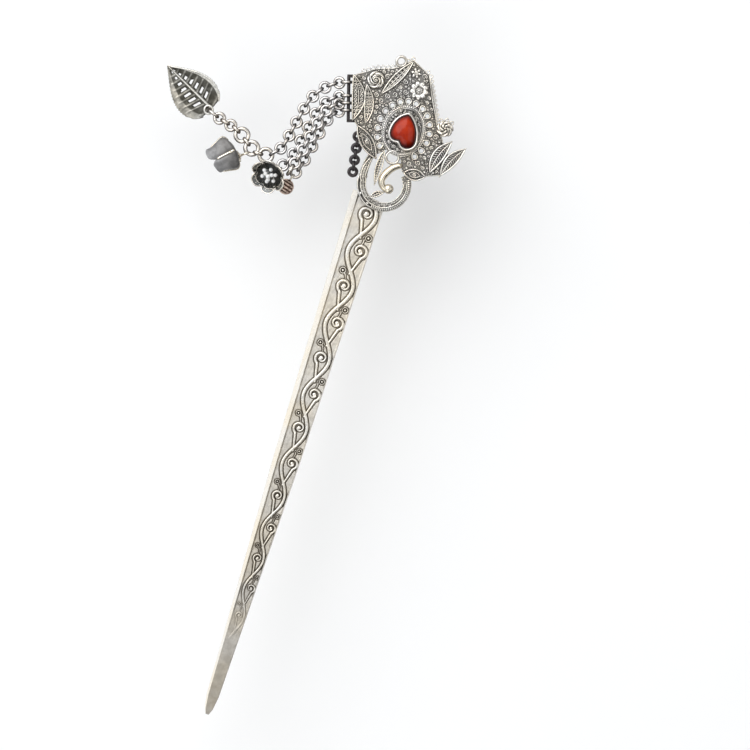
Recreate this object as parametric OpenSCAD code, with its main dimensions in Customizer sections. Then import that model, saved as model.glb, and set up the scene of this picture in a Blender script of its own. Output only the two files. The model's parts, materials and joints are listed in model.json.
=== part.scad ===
// Silver hair pin: a long relief blade, an openwork head with a heart stone,
// and a chain tassel with a leaf, two flowers and a bud.
// The pin lies on its flat back. +Y runs along the blade to the head, +Z is the front.
// The origin is on the back of the blade, on its centreline, at its wide end.

/* [Blade] */
// Length of the blade from its wide end to the tip
blade_len = 138; // [100:1:170]
// Width of the blade at its wide end
blade_w = 9.1; // [8.6:0.1:10]
// Width of the blade halfway down
blade_mid_w = 7.1; // [5:0.1:8.5]
// Width of the blade just before the tip
blade_tip_w = 3.3; // [2.6:0.1:4.5]
// Thickness of the blade
blade_t = 3; // [2.4:0.1:3]
// Width of the bevel along the left edge
left_bevel_w = 1.4; // [0.6:0.1:1.9]
// Width of the bevel along the right edge
right_bevel_w = 0.6; // [0.4:0.1:1.4]
// Height of the upright edge under the bevel
edge_h = 1.1; // [0.6:0.1:2]
// Radius of the two rivets of the lap joint
rivet_r = 0.4; // [0.3:0.05:0.45]

/* [Head plate] */
// Height of the back of the plate above the back of the blade
plate_z = 3; // [3:0.1:3.4]
// Thickness of the plate
plate_t = 1; // [0.8:0.1:1.4]
// Height of the raised frames on the plate
frame_h = 1.1; // [0.6:0.1:1.5]
// Height of the filigree inside the frames
filigree_h = 0.6; // [0.3:0.1:1]
// Width of the frames
frame_w = 0.45; // [0.3:0.05:0.6]

/* [Stone] */
// Half width of the heart stone
heart_half_w = 3.5; // [3:0.05:3.6]
// Height of the bezel above the plate
bezel_h = 1.9; // [1.2:0.1:2.6]
// Thickness of the bezel wall
bezel_wall = 0.7; // [0.4:0.05:0.8]
// Height of the top of the stone above the plate
stone_h = 3.2; // [2.8:0.1:4]

/* [Chain] */
// Radius of a chain link, to the middle of its wire
link_r = 1.26; // [1.2:0.01:1.3]
// Radius of the wire of a chain link
link_w = 0.24; // [0.2:0.01:0.26]
// Play between two links
link_play = 0.05; // [0.04:0.01:0.08]
// Radius of the bar that the strands hang on
bar_r = 0.45; // [0.35:0.05:0.5]
// Length of the bar
bar_len = 12.4; // [11.6:0.1:13]
// Height at which the strands lie
strand_z = 1.62; // [1.55:0.01:1.7]
// Height of the strand that lies over the others
upper_z = 3.75; // [3.7:0.05:4.2]

/* [Rings and charms] */
// Radius of a large jump ring, to the middle of its wire
ring_r = 1.7; // [1.6:0.05:1.75]
// Radius of the wire of a large jump ring
ring_w = 0.3; // [0.25:0.01:0.32]
// Radius of a small connecting loop
loop_r = 1.02; // [0.98:0.01:1.1]
// Radius of the wire of a small connecting loop
loop_w = 0.25; // [0.2:0.01:0.26]
// Length of the leaf charm
leaf_len = 16.1; // [14:0.1:18]
// Half width of the leaf charm
leaf_half_w = 4.9; // [4:0.1:5.5]
// Length of the tulip flower
tulip_len = 6.2; // [5:0.1:6.6]
// Radius of the mouth of the tulip flower
tulip_r = 3; // [2.6:0.1:3.1]
// Length of the bell flower
bell_len = 3.2; // [2.6:0.1:3.6]
// Radius of the mouth of the bell flower
bell_r = 3.9; // [3.4:0.1:4]
// Radius of the bud
bud_r = 1.75; // [1.4:0.05:1.8]

/* [Hidden] */
$fn = 48;
deg = 180 / PI;
gap = 0.03;
through = 20;
plate_top = plate_z + plate_t;

silver = [0.75, 0.74, 0.7];
bright = [0.88, 0.87, 0.84];
dark = [0.38, 0.37, 0.35];
frosted = [0.55, 0.55, 0.55];
red = [0.78, 0.2, 0.05];
white = [0.95, 0.94, 0.9];

// Head layout, all on the plate
heart_at = [3.55, 21.5];
halo_at = [3.4, 21.4];
crescent_at = [2.75, 6.9];
crescent_r = 5.9;
teardrop_at = [2.7, 14.3];
teardrop_r = 1.9;
teardrop_hole_r = 1.35;
rose_at = [-7.4, 32.1];
daisy_at = [4.1, 32.8];
bud_flower_at = [2.1, 36.9];
rosette_at = [13.5, 25.4];
eyelet_at = [-2.5, 38.7];
eyelet_r = 1.65;
eyelet_hole_r = 0.85;
rivet_angles = [218, 246];
rivet_ring_r = crescent_r + 0.6;

// Each petal: start, end, bulge to its left, bulge to its right
wing_1 = [[-12.2, 31.2], [-8.9, 20.7], 1.8, -0.35];
wing_2 = [[-9.3, 30.3], [-6.6, 20.5], 1.9, -0.35];
eye_left = [[-8.4, 19.4], [-1.3, 12.7], 1.6, -1.6];
eye_right = [[6.7, 11.3], [12.3, 11.9], 1.4, -1.4];
feather_1 = [[13.1, 13.1], [16.2, 22.6], 1.8, -0.5];
feather_2 = [[15.9, 13.2], [20.1, 21.9], 1.6, -0.6];
crest = [[-4.9, 29.2], [0.5, 39.5], 1, -1];
rim = [[5.6, 37.3], [11.3, 25.8], 0.35, -0.35];
frond_1 = [[0.2, 15.4], [0.4, 6.3], 0, -0.9];
frond_2 = [[3.3, 4.9], [0.3, 2.6], 0.2, -0.9];

panel = [
    [-12.85, 31.9], [-9.3, 20], [-7.4, 18.4], [-2, 13.2], [0.6, 15.8], [4.6, 15],
    [6.2, 11.4], [12.4, 12], [16.2, 13.6], [17.4, 18.2], [15.2, 20.2], [13, 23.5],
    [11.4, 25.4], [5.5, 37.5], [0.4, 40], [-3.6, 36.6], [-8.4, 34.9]
];

// The bar of the tassel, and the way the strands leave it
bar_at = [-12.75, 25.5];
bar_dir = 286.6;
leave_dir = bar_dir - 90;
bar_z = 2.6;
first_turn = 62;
link_first = link_r - link_w - bar_r - gap;
climb_links = 2;

// Strand: place along the bar, first bend radius, straight length,
// second bend radius, second turn, number of links, height
BAR_POS = 0;
BEND_R = 1;
STRAIGHT = 2;
CURL_R = 3;
CURL_TURN = 4;
COUNT = 5;
HEIGHT = 6;
outer = [-4.2, 12.3, 11, 5, 112, 15, strand_z];
middle = [-0.7, 9.3, 11.5, 9.5, 52, 14, strand_z];
upper = [1.2, 7.8, 11.5, 13.6, 39, 12, upper_z];
inner = [3.1, 6.3, 11.5, 15.2, 22, 12, strand_z];

// Chain segment: node, strand, first link, last link
SEGMENTS = [
    ["outer_strand_a", outer, 0, 3], ["outer_strand_b", outer, 4, 7],
    ["outer_strand_c", outer, 8, 11], ["outer_strand_d", outer, 12, 14],
    ["middle_strand_a", middle, 0, 3], ["middle_strand_b", middle, 4, 7],
    ["middle_strand_c", middle, 8, 13],
    ["upper_strand_a", upper, 0, 3], ["upper_strand_b", upper, 4, 7],
    ["upper_strand_c", upper, 8, 11],
    ["inner_strand_a", inner, 0, 3], ["inner_strand_b", inner, 4, 7],
    ["inner_strand_c", inner, 8, 11]
];

// Short chain that hangs under the edge of the head
edge_r = 1;
edge_w = 0.2;
edge_z = 1.45;
edge_dir = 279;
edge_eye_at = [-7.7, 18.3, edge_z];
edge_eye_r = 0.9;
edge_pitch = 2 * (edge_r - edge_w) - link_play;
edge_first = edge_eye_r + edge_r - 2 * edge_w - link_play;

// Rings from the outer strand to the leaf: turn from the one before, radius, wire
ring_play = 0.06;
DROP = [
    [-12, ring_r, ring_w], [-35.3, loop_r, loop_w],
    [-24, ring_r, ring_w], [-12, loop_r, loop_w],
    [-3, ring_r, ring_w], [9, loop_r, loop_w],
    [10, link_r, link_w], [4, loop_r, loop_w],
    [-2, link_r, link_w], [-4, 1.35, loop_w]
];
leaf_dir = 155;
leaf_hole_r = 0.75;
leaf_hole_in = 0.95;
leaf_t = 0.9;
tulip_hang_dir = 240;
tulip_dir = 217;
tulip_tilt = 10;
bell_turn = -14;
bell_tilt = 48;
bud_lift = 0.2;

// ---- Curves ----
function flat_dir(a) = [cos(a), sin(a), 0];
function left_of(v) = [-v.y, v.x] / norm(v);

// Points of a bow from p to q whose middle stands b to the left
function bow(p, q, b, n = 14) = [
    for (i = [0:n]) let (t = i / n) p + (q - p) * t + left_of(q - p) * b * 4 * t * (1 - t)
];
function turned_round(points) = [for (i = [len(points) - 2:-1:1]) points[i]];
function petal_points(a) = concat(bow(a[0], a[1], a[2]), turned_round(bow(a[0], a[1], a[3])));

// A petal made smaller all round by the width w
function shrunk(a, w) =
    let (
        half = (a[2] - a[3]) / 2,
        length = norm(a[1] - a[0]),
        step = w / sin(atan(4 * half / length)),
        along = (a[1] - a[0]) / length
    )
    [a[0] + along * step, a[1] - along * step, a[2] - w, a[3] + w];

function middle_of(a, t) =
    a[0] + (a[1] - a[0]) * t + left_of(a[1] - a[0]) * (a[2] + a[3]) * 2 * t * (1 - t);
function half_width(a, t) = (a[2] - a[3]) * 2 * t * (1 - t);

// Arc of a circle as points, and a band of varying half width along points
function arc_points(c, r, from, to, n) = [
    for (i = [0:n]) let (a = from + (to - from) * i / n) c + r * [cos(a), sin(a)]
];
function along_at(points, i) =
    points[min(i + 1, len(points) - 1)] - points[max(i - 1, 0)];
function band_points(points, from_w, to_w) =
    let (
        n = len(points) - 1,
        side = [for (i = [0:n]) left_of(along_at(points, i)) * (from_w + (to_w - from_w) * i / n)]
    )
    concat([for (i = [0:n]) points[i] + side[i]], [for (i = [n:-1:0]) points[i] - side[i]]);

// Leaning heart with its tip up: two round lobes of unlike size and two bowed sides,
// grown by g all round
right_lobe_r = 2.05;
left_lobe_r = 1.85;
right_lobe = [heart_half_w - 1.9, -2.05];
left_lobe = [2 - heart_half_w, -1];
heart_tip = [0.02, 4.55];
function inner(points) = [for (i = [1:len(points) - 2]) points[i]];
function heart_points(g) =
    let (
        r = right_lobe_r + g,
        l = left_lobe_r + g,
        across = left_lobe - right_lobe,
        d = norm(across),
        reach = (d * d + r * r - l * l) / (2 * d),
        notch_r = azimuth(across) + acos(reach / r),
        notch_l = azimuth(across) + 180 - acos((d - reach) / l),
        top = heart_tip + g * [0.1, 1.17],
        right = right_lobe + r * [cos(8), sin(8)],
        left = left_lobe + l * [cos(178), sin(178)]
    )
    concat(
        arc_points(right_lobe, r, notch_r, 368, 20),
        inner(bow(right, top, -0.8 - 0.2 * g, 12)),
        [top],
        inner(bow(top, left, -1 - 0.3 * g, 12)),
        [left],
        inner(arc_points(left_lobe, l, 178, notch_l, 16))
    );

// ---- Chain paths ----
function heading(s, d) =
    leave_dir
    + min(d / s[BEND_R] * deg, first_turn)
    - min(max(0, d - s[BEND_R] * first_turn / deg - s[STRAIGHT]) / s[CURL_R] * deg, s[CURL_TURN]);
link_pitch = 2 * (link_r - link_w) - link_play;
function step_to(s, i) =
    let (
        before = heading(s, (i - 1) * link_pitch),
        after = heading(s, i * link_pitch),
        pitch = 2 * (link_r - link_w) * cos((after - before) / 2) - link_play,
        rise = i <= climb_links ? (s[HEIGHT] - bar_z) / climb_links : 0,
        level = sqrt(pitch * pitch - rise * rise)
    )
    flat_dir((before + after) / 2) * level + [0, 0, rise];
function strand_start(s) =
    [bar_at.x, bar_at.y, bar_z] + flat_dir(bar_dir) * s[BAR_POS] + flat_dir(leave_dir) * link_first;
function strand_points(s) = [
    for (i = 0, p = strand_start(s); i < s[COUNT]; i = i + 1, p = p + step_to(s, i)) p
];
function tangent(points, i) =
    i == 0 ? flat_dir(leave_dir)
    : let (v = points[min(i + 1, len(points) - 1)] - points[i - 1]) v / norm(v);
function azimuth(v) = atan2(v.y, v.x);
function strand_end(s) = let (p = strand_points(s)) p[len(p) - 1];
function end_dir(s) = let (p = strand_points(s)) azimuth(tangent(p, len(p) - 1));

// Where a ring of radius r and wire w hangs past a ring of radius r0 and wire w0
function hung(at, dir, r0, w0, r, w) = at + flat_dir(dir) * (r0 - w0 + r - w - ring_play);
function drop_dir(k) = k < 0 ? end_dir(outer) : drop_dir(k - 1) + DROP[k][0];
function drop_r(k) = k < 0 ? link_r : DROP[k][1];
function drop_w(k) = k < 0 ? link_w : DROP[k][2];
function drop_at(k) =
    k < 0 ? strand_end(outer)
    : hung(drop_at(k - 1), drop_dir(k), drop_r(k - 1), drop_w(k - 1), drop_r(k), drop_w(k));
last_drop = len(DROP) - 1;

tulip_loop_at = hung(drop_at(2), tulip_hang_dir, ring_r, ring_w, loop_r, loop_w);
bell_dir = end_dir(middle);
bell_loop_at = hung(strand_end(middle), bell_dir, link_r, link_w, loop_r, loop_w);
bud_dir = end_dir(inner);
bud_loop_at = hung(strand_end(inner), bud_dir, link_r, link_w, loop_r, loop_w);
end_ring_r = 1.35;

// ---- Shared shapes ----
module ring(r, w) {
    rotate_extrude() translate([r, 0]) circle(r = w, $fn = 20);
}

module flat_ring(at, r, w) {
    translate(at) ring(r, w);
}

module upright_ring(at, dir, r, w) {
    translate(at) rotate([90, 0, dir]) ring(r, w);
}

// Strand link i: even ones stand upright, odd ones lie flat
module strand_links(s, first, last) {
    points = strand_points(s);
    for (i = [first:last]) {
        t = tangent(points, i);
        translate(points[i])
            rotate([0, -asin(t.z), azimuth(t)])
            rotate([i % 2 == 0 ? 90 : 0, 0, 0])
            ring(link_r, link_w);
    }
}

module on_plate(h) {
    translate([0, 0, plate_top]) linear_extrude(h) children();
}

module petal(a) {
    polygon(petal_points(a));
}

module petal_frame(a) {
    difference() {
        petal(a);
        petal(shrunk(a, frame_w));
    }
}

// Small round scrolls along the middle of a petal
module petal_scrolls(a, count) {
    inside = shrunk(a, frame_w);
    for (i = [1:count]) {
        t = (i - 0.5) / count;
        r = half_width(inside, t) + 0.04;
        translate(middle_of(inside, t)) difference() {
            circle(r = r, $fn = 24);
            circle(r = r * 0.5, $fn = 24);
        }
    }
}

module filigree_leaf(a, count) {
    on_plate(frame_h) petal_frame(a);
    on_plate(filigree_h) petal_scrolls(a, count);
}

// Round cap of radius r and height h, standing on the plate
module dome(at, r, h) {
    ball_r = (r * r + h * h) / (2 * h);
    translate([at.x, at.y, plate_top]) intersection() {
        translate([0, 0, h - ball_r]) sphere(ball_r);
        cylinder(r = r + 1, h = h + 1);
    }
}

module heart(g) {
    translate(heart_at) polygon(heart_points(g));
}

// ---- Blade ----
module blade_outline() {
    mid = -blade_len / 2;
    neck = -blade_len + 5;
    top = 3.4;
    polygon([
        [-blade_w / 2, top], [-blade_w / 2, 0], [-blade_mid_w / 2, mid],
        [-blade_tip_w / 2, neck], [-1.15, 1.5 - blade_len], [-0.5, -blade_len],
        [0.5, -blade_len], [1.15, 1.5 - blade_len], [blade_tip_w / 2, neck],
        [blade_mid_w / 2, mid], [blade_w / 2, 0], [blade_w / 2, top]
    ]);
}

// Wedge that cuts the bevel along one straight edge from p to q, blade on the left
module bevel_cut(p, q, bevel_w) {
    rise = blade_t - edge_h;
    angle = azimuth(q - p);
    translate([p.x, p.y, edge_h]) rotate([0, 0, angle]) translate([-8, 0, 0])
        rotate([90, 0, 90]) linear_extrude(norm(q - p) + 16)
        polygon([[-3, -3 * rise / bevel_w], [-3, rise + 2], [bevel_w + 2 * bevel_w / rise, rise + 2]]);
}

module blade() {
    mid = -blade_len / 2;
    neck = -blade_len + 5;
    color(silver) difference() {
        linear_extrude(blade_t) difference() {
            blade_outline();
            translate(crescent_at) circle(r = crescent_r - 0.7);
        }
        for (side = [0, 1]) mirror([side, 0, 0]) {
            w = side == 0 ? left_bevel_w : right_bevel_w;
            intersection() {
                bevel_cut([-blade_w / 2, 4], [-blade_mid_w / 2, mid], w);
                translate([-10, mid, 0]) cube([20, 100, 10]);
            }
            intersection() {
                bevel_cut([-blade_mid_w / 2, mid], [-blade_tip_w / 2, neck], w);
                translate([-10, mid - 100, 0]) cube([20, 100, 10]);
            }
        }
        rivets_at() cylinder(r = rivet_r, h = through, center = true);
    }
}

module rivets_at() {
    for (a = rivet_angles) translate([crescent_at.x, crescent_at.y, 0] + rivet_ring_r * flat_dir(a))
        children();
}

module lap_rivets() {
    color(bright) rivets_at() {
        translate([0, 0, 0.4]) cylinder(r = rivet_r - 0.01, h = plate_top - 0.4);
        translate([0, 0, plate_top]) intersection() {
            translate([0, 0, -0.15]) sphere(0.5);
            cylinder(r = 1, h = 1);
        }
    }
}

// ---- Head plate ----
module crescent_band(inner_r, outer_r, to) {
    from = 172;
    polygon(concat(
        arc_points(crescent_at, outer_r, from, to, 48),
        arc_points(crescent_at, inner_r, to, from, 48)
    ));
}

module crescent_arm(w, reach) {
    base = crescent_at + [-crescent_r, 0.2];
    polygon(band_points(bow(base, base + [0.7, reach], 0.35), w, w * 0.7));
}

module backplate() {
    color(dark) translate([0, 0, plate_z]) difference() {
        linear_extrude(plate_t) difference() {
            union() {
                polygon(panel);
                for (a = [eye_left, eye_right, feather_1, feather_2, crest]) petal(shrunk(a, -0.15));
                petal(shrunk(frond_1, -0.1));
                petal(shrunk(frond_2, -0.1));
                crescent_band(crescent_r - 1.05, crescent_r + 1.15, 400);
                crescent_arm(1.05, 6.9);
                translate(teardrop_at) circle(r = teardrop_r + 0.1);
                translate(rosette_at) circle(r = 1.95);
            }
            translate(teardrop_at) circle(r = teardrop_hole_r);
            translate(eyelet_at) circle(r = eyelet_r);
        }
        rivets_at() cylinder(r = rivet_r, h = through, center = true);
    }
}

module top_eyelet() {
    color(bright) translate([eyelet_at.x, eyelet_at.y, plate_z]) difference() {
        cylinder(r = eyelet_r, h = plate_t + 0.8);
        translate([0, 0, -1]) cylinder(r = eyelet_hole_r, h = through);
    }
}

// ---- Stone and halo ----
module bezel_cup() {
    color(bright) on_plate(bezel_h) difference() {
        heart(bezel_wall);
        heart(0);
    }
}

module heart_stone() {
    ball_r = 7.4;
    color(red) intersection() {
        on_plate(stone_h + 1) heart(-gap);
        translate([heart_at.x, heart_at.y, plate_top + stone_h - ball_r]) sphere(ball_r, $fn = 96);
    }
}

module rope_ring() {
    beads = 48;
    rope_a = 5.2;
    rope_b = 6.52;
    color(silver) for (i = [0:beads - 1]) {
        a = i * 360 / beads;
        at = halo_at + [rope_a * cos(a), rope_b * sin(a)];
        if (norm(at - teardrop_at) > teardrop_r + 0.35) dome(at, 0.25, 0.4);
    }
}

module halo_lace() {
    scallops = 18;
    lace_a = 6.4;
    lace_b = 7.7;
    color(silver) for (i = [0:scallops - 1]) {
        a = i * 360 / scallops + 10;
        if (a < 225 || a > 305)
            on_plate(frame_h - 0.2) translate(halo_at + [lace_a * cos(a), lace_b * sin(a)]) difference() {
                circle(r = 0.9, $fn = 24);
                circle(r = 0.5, $fn = 24);
            }
    }
}

module teardrop_loop() {
    color(bright) on_plate(frame_h) translate(teardrop_at) difference() {
        circle(r = teardrop_r);
        circle(r = teardrop_hole_r);
    }
}

// ---- Leaves and feathers ----
module wing_leaf_1() {
    color(silver) filigree_leaf(wing_1, 6);
}

module wing_leaf_2() {
    color(silver) filigree_leaf(wing_2, 6);
}

module eye_leaf_left() {
    color(silver) filigree_leaf(eye_left, 3);
}

module eye_leaf_right() {
    color(silver) filigree_leaf(eye_right, 3);
}

module feather_right_1() {
    color(silver) filigree_leaf(feather_1, 5);
}

module feather_right_2() {
    color(silver) filigree_leaf(feather_2, 7);
}

module crest_leaf() {
    color(silver) filigree_leaf(crest, 6);
}

module right_rim() {
    color(bright) on_plate(frame_h) petal(rim);
}

module inner_fronds() {
    color(silver) {
        on_plate(frame_h) petal(frond_1);
        on_plate(frame_h) petal(frond_2);
    }
}

// Small rings that fill the spaces between the larger pieces: x, y, radius
fill_rings = [
    [-4.5, 24.6, 1.05], [-4.6, 27.2, 1], [-5.1, 21.9, 0.85], [-5.4, 19.5, 0.6],
    [-4.7, 34.3, 0.7], [7.4, 29.2, 0.9], [9.2, 27.3, 0.5], [10.5, 25, 0.5]
];

module scroll_fill() {
    color(silver) on_plate(filigree_h) for (f = fill_rings) translate([f.x, f.y]) difference() {
        circle(r = f[2], $fn = 24);
        circle(r = f[2] * 0.5, $fn = 24);
    }
}

// ---- Crescent ----
module crescent_scroll() {
    color(silver) on_plate(frame_h) union() {
        crescent_band(crescent_r - 0.95, crescent_r + 0.05, 386);
        crescent_arm(0.6, 5.4);
    }
}

module beaded_edge() {
    beads = 22;
    color(bright) for (i = [0:beads - 1]) {
        a = 262 + i * (384 - 262) / (beads - 1);
        dome(crescent_at + (crescent_r + 0.62) * [cos(a), sin(a)], 0.32, 0.4);
    }
}

curl_at = [6.8, 7.7];
curl_r = 5;
curl_end_at = [3.9, 7.9];
curl_end_r = 2.1;

module curl_scroll() {
    h = 1.8;
    color(bright) {
        on_plate(h) union() {
            polygon(band_points(arc_points(curl_at, curl_r, 101, 178, 16), 0.75, 0.6));
            polygon(band_points(arc_points(curl_end_at, curl_end_r, 176, 272, 16), 0.6, 0.5));
        }
        translate([curl_end_at.x, curl_end_at.y - curl_end_r, plate_top + 0.75]) sphere(0.95);
    }
}

// ---- Flowers of the head ----
module rose_left() {
    color(silver) union() {
        dome(rose_at, 2.3, 1.3);
        for (i = [0:4]) dome(rose_at + 1.2 * [cos(i * 72), sin(i * 72)], 0.95, 1.75);
        dome(rose_at, 0.8, 2.1);
    }
}

module daisy_top() {
    petals = 9;
    color(silver) {
        on_plate(1.2) for (i = [0:petals - 1]) {
            a = i * 360 / petals;
            petal([daisy_at + 0.7 * [cos(a), sin(a)], daisy_at + 2.8 * [cos(a), sin(a)], 0.6, -0.6]);
        }
        dome(daisy_at, 1.05, 1.8);
    }
}

module bud_flower_top() {
    color(silver) union() {
        dome(bud_flower_at, 1.4, 1);
        for (i = [0:3]) dome(bud_flower_at + 0.6 * [cos(i * 90), sin(i * 90)], 0.6, 1.5);
    }
}

module rosette_right() {
    color(silver) union() {
        dome(rosette_at, 1.9, 1.5);
        for (i = [0:5]) dome(rosette_at + 1.15 * [cos(i * 60), sin(i * 60)], 0.75, 1.9);
        dome(rosette_at, 0.6, 2.3);
    }
}

// ---- Bar and eyelet of the chains ----
module chain_bar() {
    lug_t = 0.8;
    lug_h = 1;
    lug_len = 3.3;
    color(dark) translate([bar_at.x, bar_at.y, 0]) rotate([0, 0, bar_dir]) union() {
        translate([-bar_len / 2, 0, bar_z]) rotate([0, 90, 0]) cylinder(r = bar_r, h = bar_len);
        for (side = [-1, 1]) translate([side * (bar_len / 2 - lug_t / 2) - lug_t / 2, 0, plate_z - lug_h])
            cube([lug_t, lug_len, lug_h]);
    }
}

module edge_eyelet() {
    color(dark) union() {
        upright_ring(edge_eye_at, edge_dir, edge_eye_r, edge_w);
        translate([edge_eye_at.x, edge_eye_at.y, edge_eye_at.z + edge_eye_r])
            cylinder(r = 0.35, h = plate_z - edge_eye_at.z - edge_eye_r);
    }
}

// Edge chain link i: even ones lie flat, odd ones stand upright
module edge_links(first, last) {
    for (i = [first:last]) {
        at = edge_eye_at + flat_dir(edge_dir) * (edge_first + i * edge_pitch);
        if (i % 2 == 0) flat_ring(at, edge_r, edge_w);
        else upright_ring(at, edge_dir, edge_r, edge_w);
    }
}

module edge_chain_a() {
    color(dark) edge_links(0, 3);
}

module edge_chain_b() {
    color(dark) edge_links(4, 6);
}

// ---- Rings ----
module drop_ring(k) {
    if (k % 2 == 0) flat_ring(drop_at(k), drop_r(k), drop_w(k));
    else upright_ring(drop_at(k), drop_dir(k), drop_r(k), drop_w(k));
}

module jump_ring_1() {
    color(bright) drop_ring(0);
}

module jump_ring_2() {
    color(bright) for (k = [1, 2]) drop_ring(k);
}

module jump_ring_3() {
    color(bright) for (k = [3, 4]) drop_ring(k);
}

module connector_1() {
    color(bright) for (k = [5, 6]) drop_ring(k);
}

module connector_2() {
    color(bright) for (k = [7, 8]) drop_ring(k);
}

module leaf_bail() {
    color(bright) drop_ring(last_drop);
}

module end_ring() {
    dir = end_dir(upper);
    at = hung(strand_end(upper), dir, link_r, link_w, end_ring_r, loop_w);
    color(bright) upright_ring(at, dir, end_ring_r, loop_w);
}

// ---- Leaf charm ----
function leaf_width(t) = leaf_half_w * pow(sin(180 * pow(t, 0.72)), 0.8);

module leaf_outline(from, w) {
    n = 26;
    side = [for (i = [0:n]) let (t = i / n) [from + t * (leaf_len - from), leaf_width(t) - w]];
    kept = [for (p = side) if (p.y > 0.02) p];
    m = len(kept) - 1;
    polygon(concat(kept, [for (i = [m:-1:0]) [kept[i].x, -kept[i].y]]));
}

module leaf_slots() {
    intersection() {
        leaf_outline(0, 1.15);
        for (side = [-1, 1], i = [0:6]) translate([2.6 + i * 1.75, side * 0.45])
            rotate([0, 0, side * 38]) translate([0, -0.38]) square([9, 0.76]);
        difference() {
            square([60, 60], center = true);
            translate([0, -0.42]) square([leaf_len, 0.84]);
        }
    }
}

module leaf_charm() {
    hole_at = drop_at(last_drop) + flat_dir(drop_dir(last_drop)) * (drop_r(last_drop) + 0.3);
    color(silver) translate(hole_at) rotate([0, 0, leaf_dir]) translate([-leaf_hole_in, 0, -leaf_t / 2])
        difference() {
            linear_extrude(leaf_t) difference() {
                union() {
                    leaf_outline(0, 0);
                    translate([leaf_hole_in + 0.35, 0]) circle(r = 1.5);
                }
                leaf_slots();
            }
            translate([leaf_hole_in, 0, -1]) cylinder(r = leaf_hole_r, h = 3);
        }
}

// ---- Flowers of the tassel, each standing on the origin and opening along +Z ----
module loop_neck(length) {
    cylinder(r = 0.4, h = length);
}

module cap_shape(r, h) {
    rotate_extrude() polygon([[0, 0], [r * 0.35, 0], [r * 0.8, h * 0.35], [r, h], [0, h]]);
}

module tulip_place() {
    translate(tulip_loop_at) rotate([0, 90 - tulip_tilt, tulip_dir]) translate([0, 0, loop_r])
        children();
}

tulip_neck = 0.5;
tulip_cap_h = 1.1;
tulip_cap_r = 1.7;

module tulip_cap() {
    color(bright) {
        upright_ring(tulip_loop_at, tulip_dir, loop_r, loop_w);
        tulip_place() loop_neck(tulip_neck + 0.1);
        tulip_place() translate([0, 0, tulip_neck]) cap_shape(tulip_cap_r, tulip_cap_h);
    }
}

module tulip_flower() {
    wall = 0.45;
    color(frosted) tulip_place() translate([0, 0, tulip_neck + tulip_cap_h]) rotate_extrude() polygon([
        [0, 0], [tulip_cap_r * 0.95, 0], [2.15, 0.9], [2.45, tulip_len * 0.45],
        [tulip_r, tulip_len], [tulip_r - wall, tulip_len], [2.45 - wall, tulip_len * 0.45],
        [2.15 - wall, 1.2], [0, 0.8]
    ]);
}

module bell_place() {
    translate(bell_loop_at) rotate([0, 90 - bell_tilt, bell_dir + bell_turn])
        translate([0, 0, loop_r]) children();
}

bell_neck = 0.35;
bell_cap_h = 1.2;
bell_cap_r = 1.5;
bell_floor = 0.6;

module bell_cap() {
    color(bright) {
        upright_ring(bell_loop_at, bell_dir, loop_r, loop_w);
        bell_place() loop_neck(bell_neck + 0.1);
        bell_place() translate([0, 0, bell_neck]) cap_shape(bell_cap_r, bell_cap_h);
    }
}

module bell_flower() {
    wall = 0.5;
    color(dark) bell_place() translate([0, 0, bell_neck + bell_cap_h]) rotate_extrude() polygon([
        [0, 0], [bell_cap_r * 0.95, 0], [2.7, 1], [bell_r, bell_len],
        [bell_r - wall, bell_len], [2.7 - wall, 1.3], [1.7, bell_floor], [0, bell_floor]
    ]);
}

module bell_stamens() {
    beads = 6;
    floor_at = bell_neck + bell_cap_h + bell_floor;
    color(white) bell_place() {
        for (i = [0:beads - 1]) {
            a = i * 360 / beads;
            translate([1.15 * cos(a), 1.15 * sin(a), floor_at]) {
                cylinder(r = 0.14, h = 1.6);
                translate([0, 0, 1.8]) sphere(0.45);
            }
        }
        translate([0, 0, floor_at]) {
            cylinder(r = 0.14, h = 2);
            translate([0, 0, 2.2]) sphere(0.5);
        }
    }
}

module bud_place() {
    translate(bud_loop_at) rotate([0, 90, bud_dir]) translate([0, 0, loop_r]) children();
}

bud_neck = 0.3;
bud_cap_h = 0.6;

module bud_cap() {
    color(bright) {
        upright_ring(bud_loop_at, bud_dir, loop_r, loop_w);
        bud_place() loop_neck(bud_neck + 0.1);
        bud_place() translate([0, 0, bud_neck]) cap_shape(1, bud_cap_h);
    }
}

module bud_bead() {
    color(silver) bud_place() translate([-bud_lift, 0, bud_neck + bud_cap_h]) intersection() {
        translate([0, 0, sqrt(bud_r * bud_r - 1)]) sphere(bud_r);
        translate([0, 0, 5]) cube([10, 10, 10], center = true);
    }
}

blade();
backplate();
lap_rivets();
bezel_cup();
heart_stone();
rope_ring();
halo_lace();
wing_leaf_1();
wing_leaf_2();
eye_leaf_left();
eye_leaf_right();
crescent_scroll();
beaded_edge();
curl_scroll();
teardrop_loop();
inner_fronds();
feather_right_1();
feather_right_2();
right_rim();
crest_leaf();
rose_left();
daisy_top();
bud_flower_top();
rosette_right();
top_eyelet();
scroll_fill();
chain_bar();
edge_eyelet();
edge_chain_a();
edge_chain_b();
end_ring();
jump_ring_1();
jump_ring_2();
jump_ring_3();
connector_1();
connector_2();
leaf_bail();
leaf_charm();
tulip_cap();
tulip_flower();
bell_cap();
bell_flower();
bell_stamens();
bud_cap();
bud_bead();
for (s = SEGMENTS)
    color(silver) strand_links(s[1], s[2], s[3]);
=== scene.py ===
"""Looks of the silver hair pin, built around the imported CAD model. Shapes are made in millimetres."""
import json
import math

import bmesh
import bpy
import numpy as np
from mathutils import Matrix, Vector
from mathutils.bvhtree import BVHTree
from mathutils.kdtree import KDTree

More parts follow.
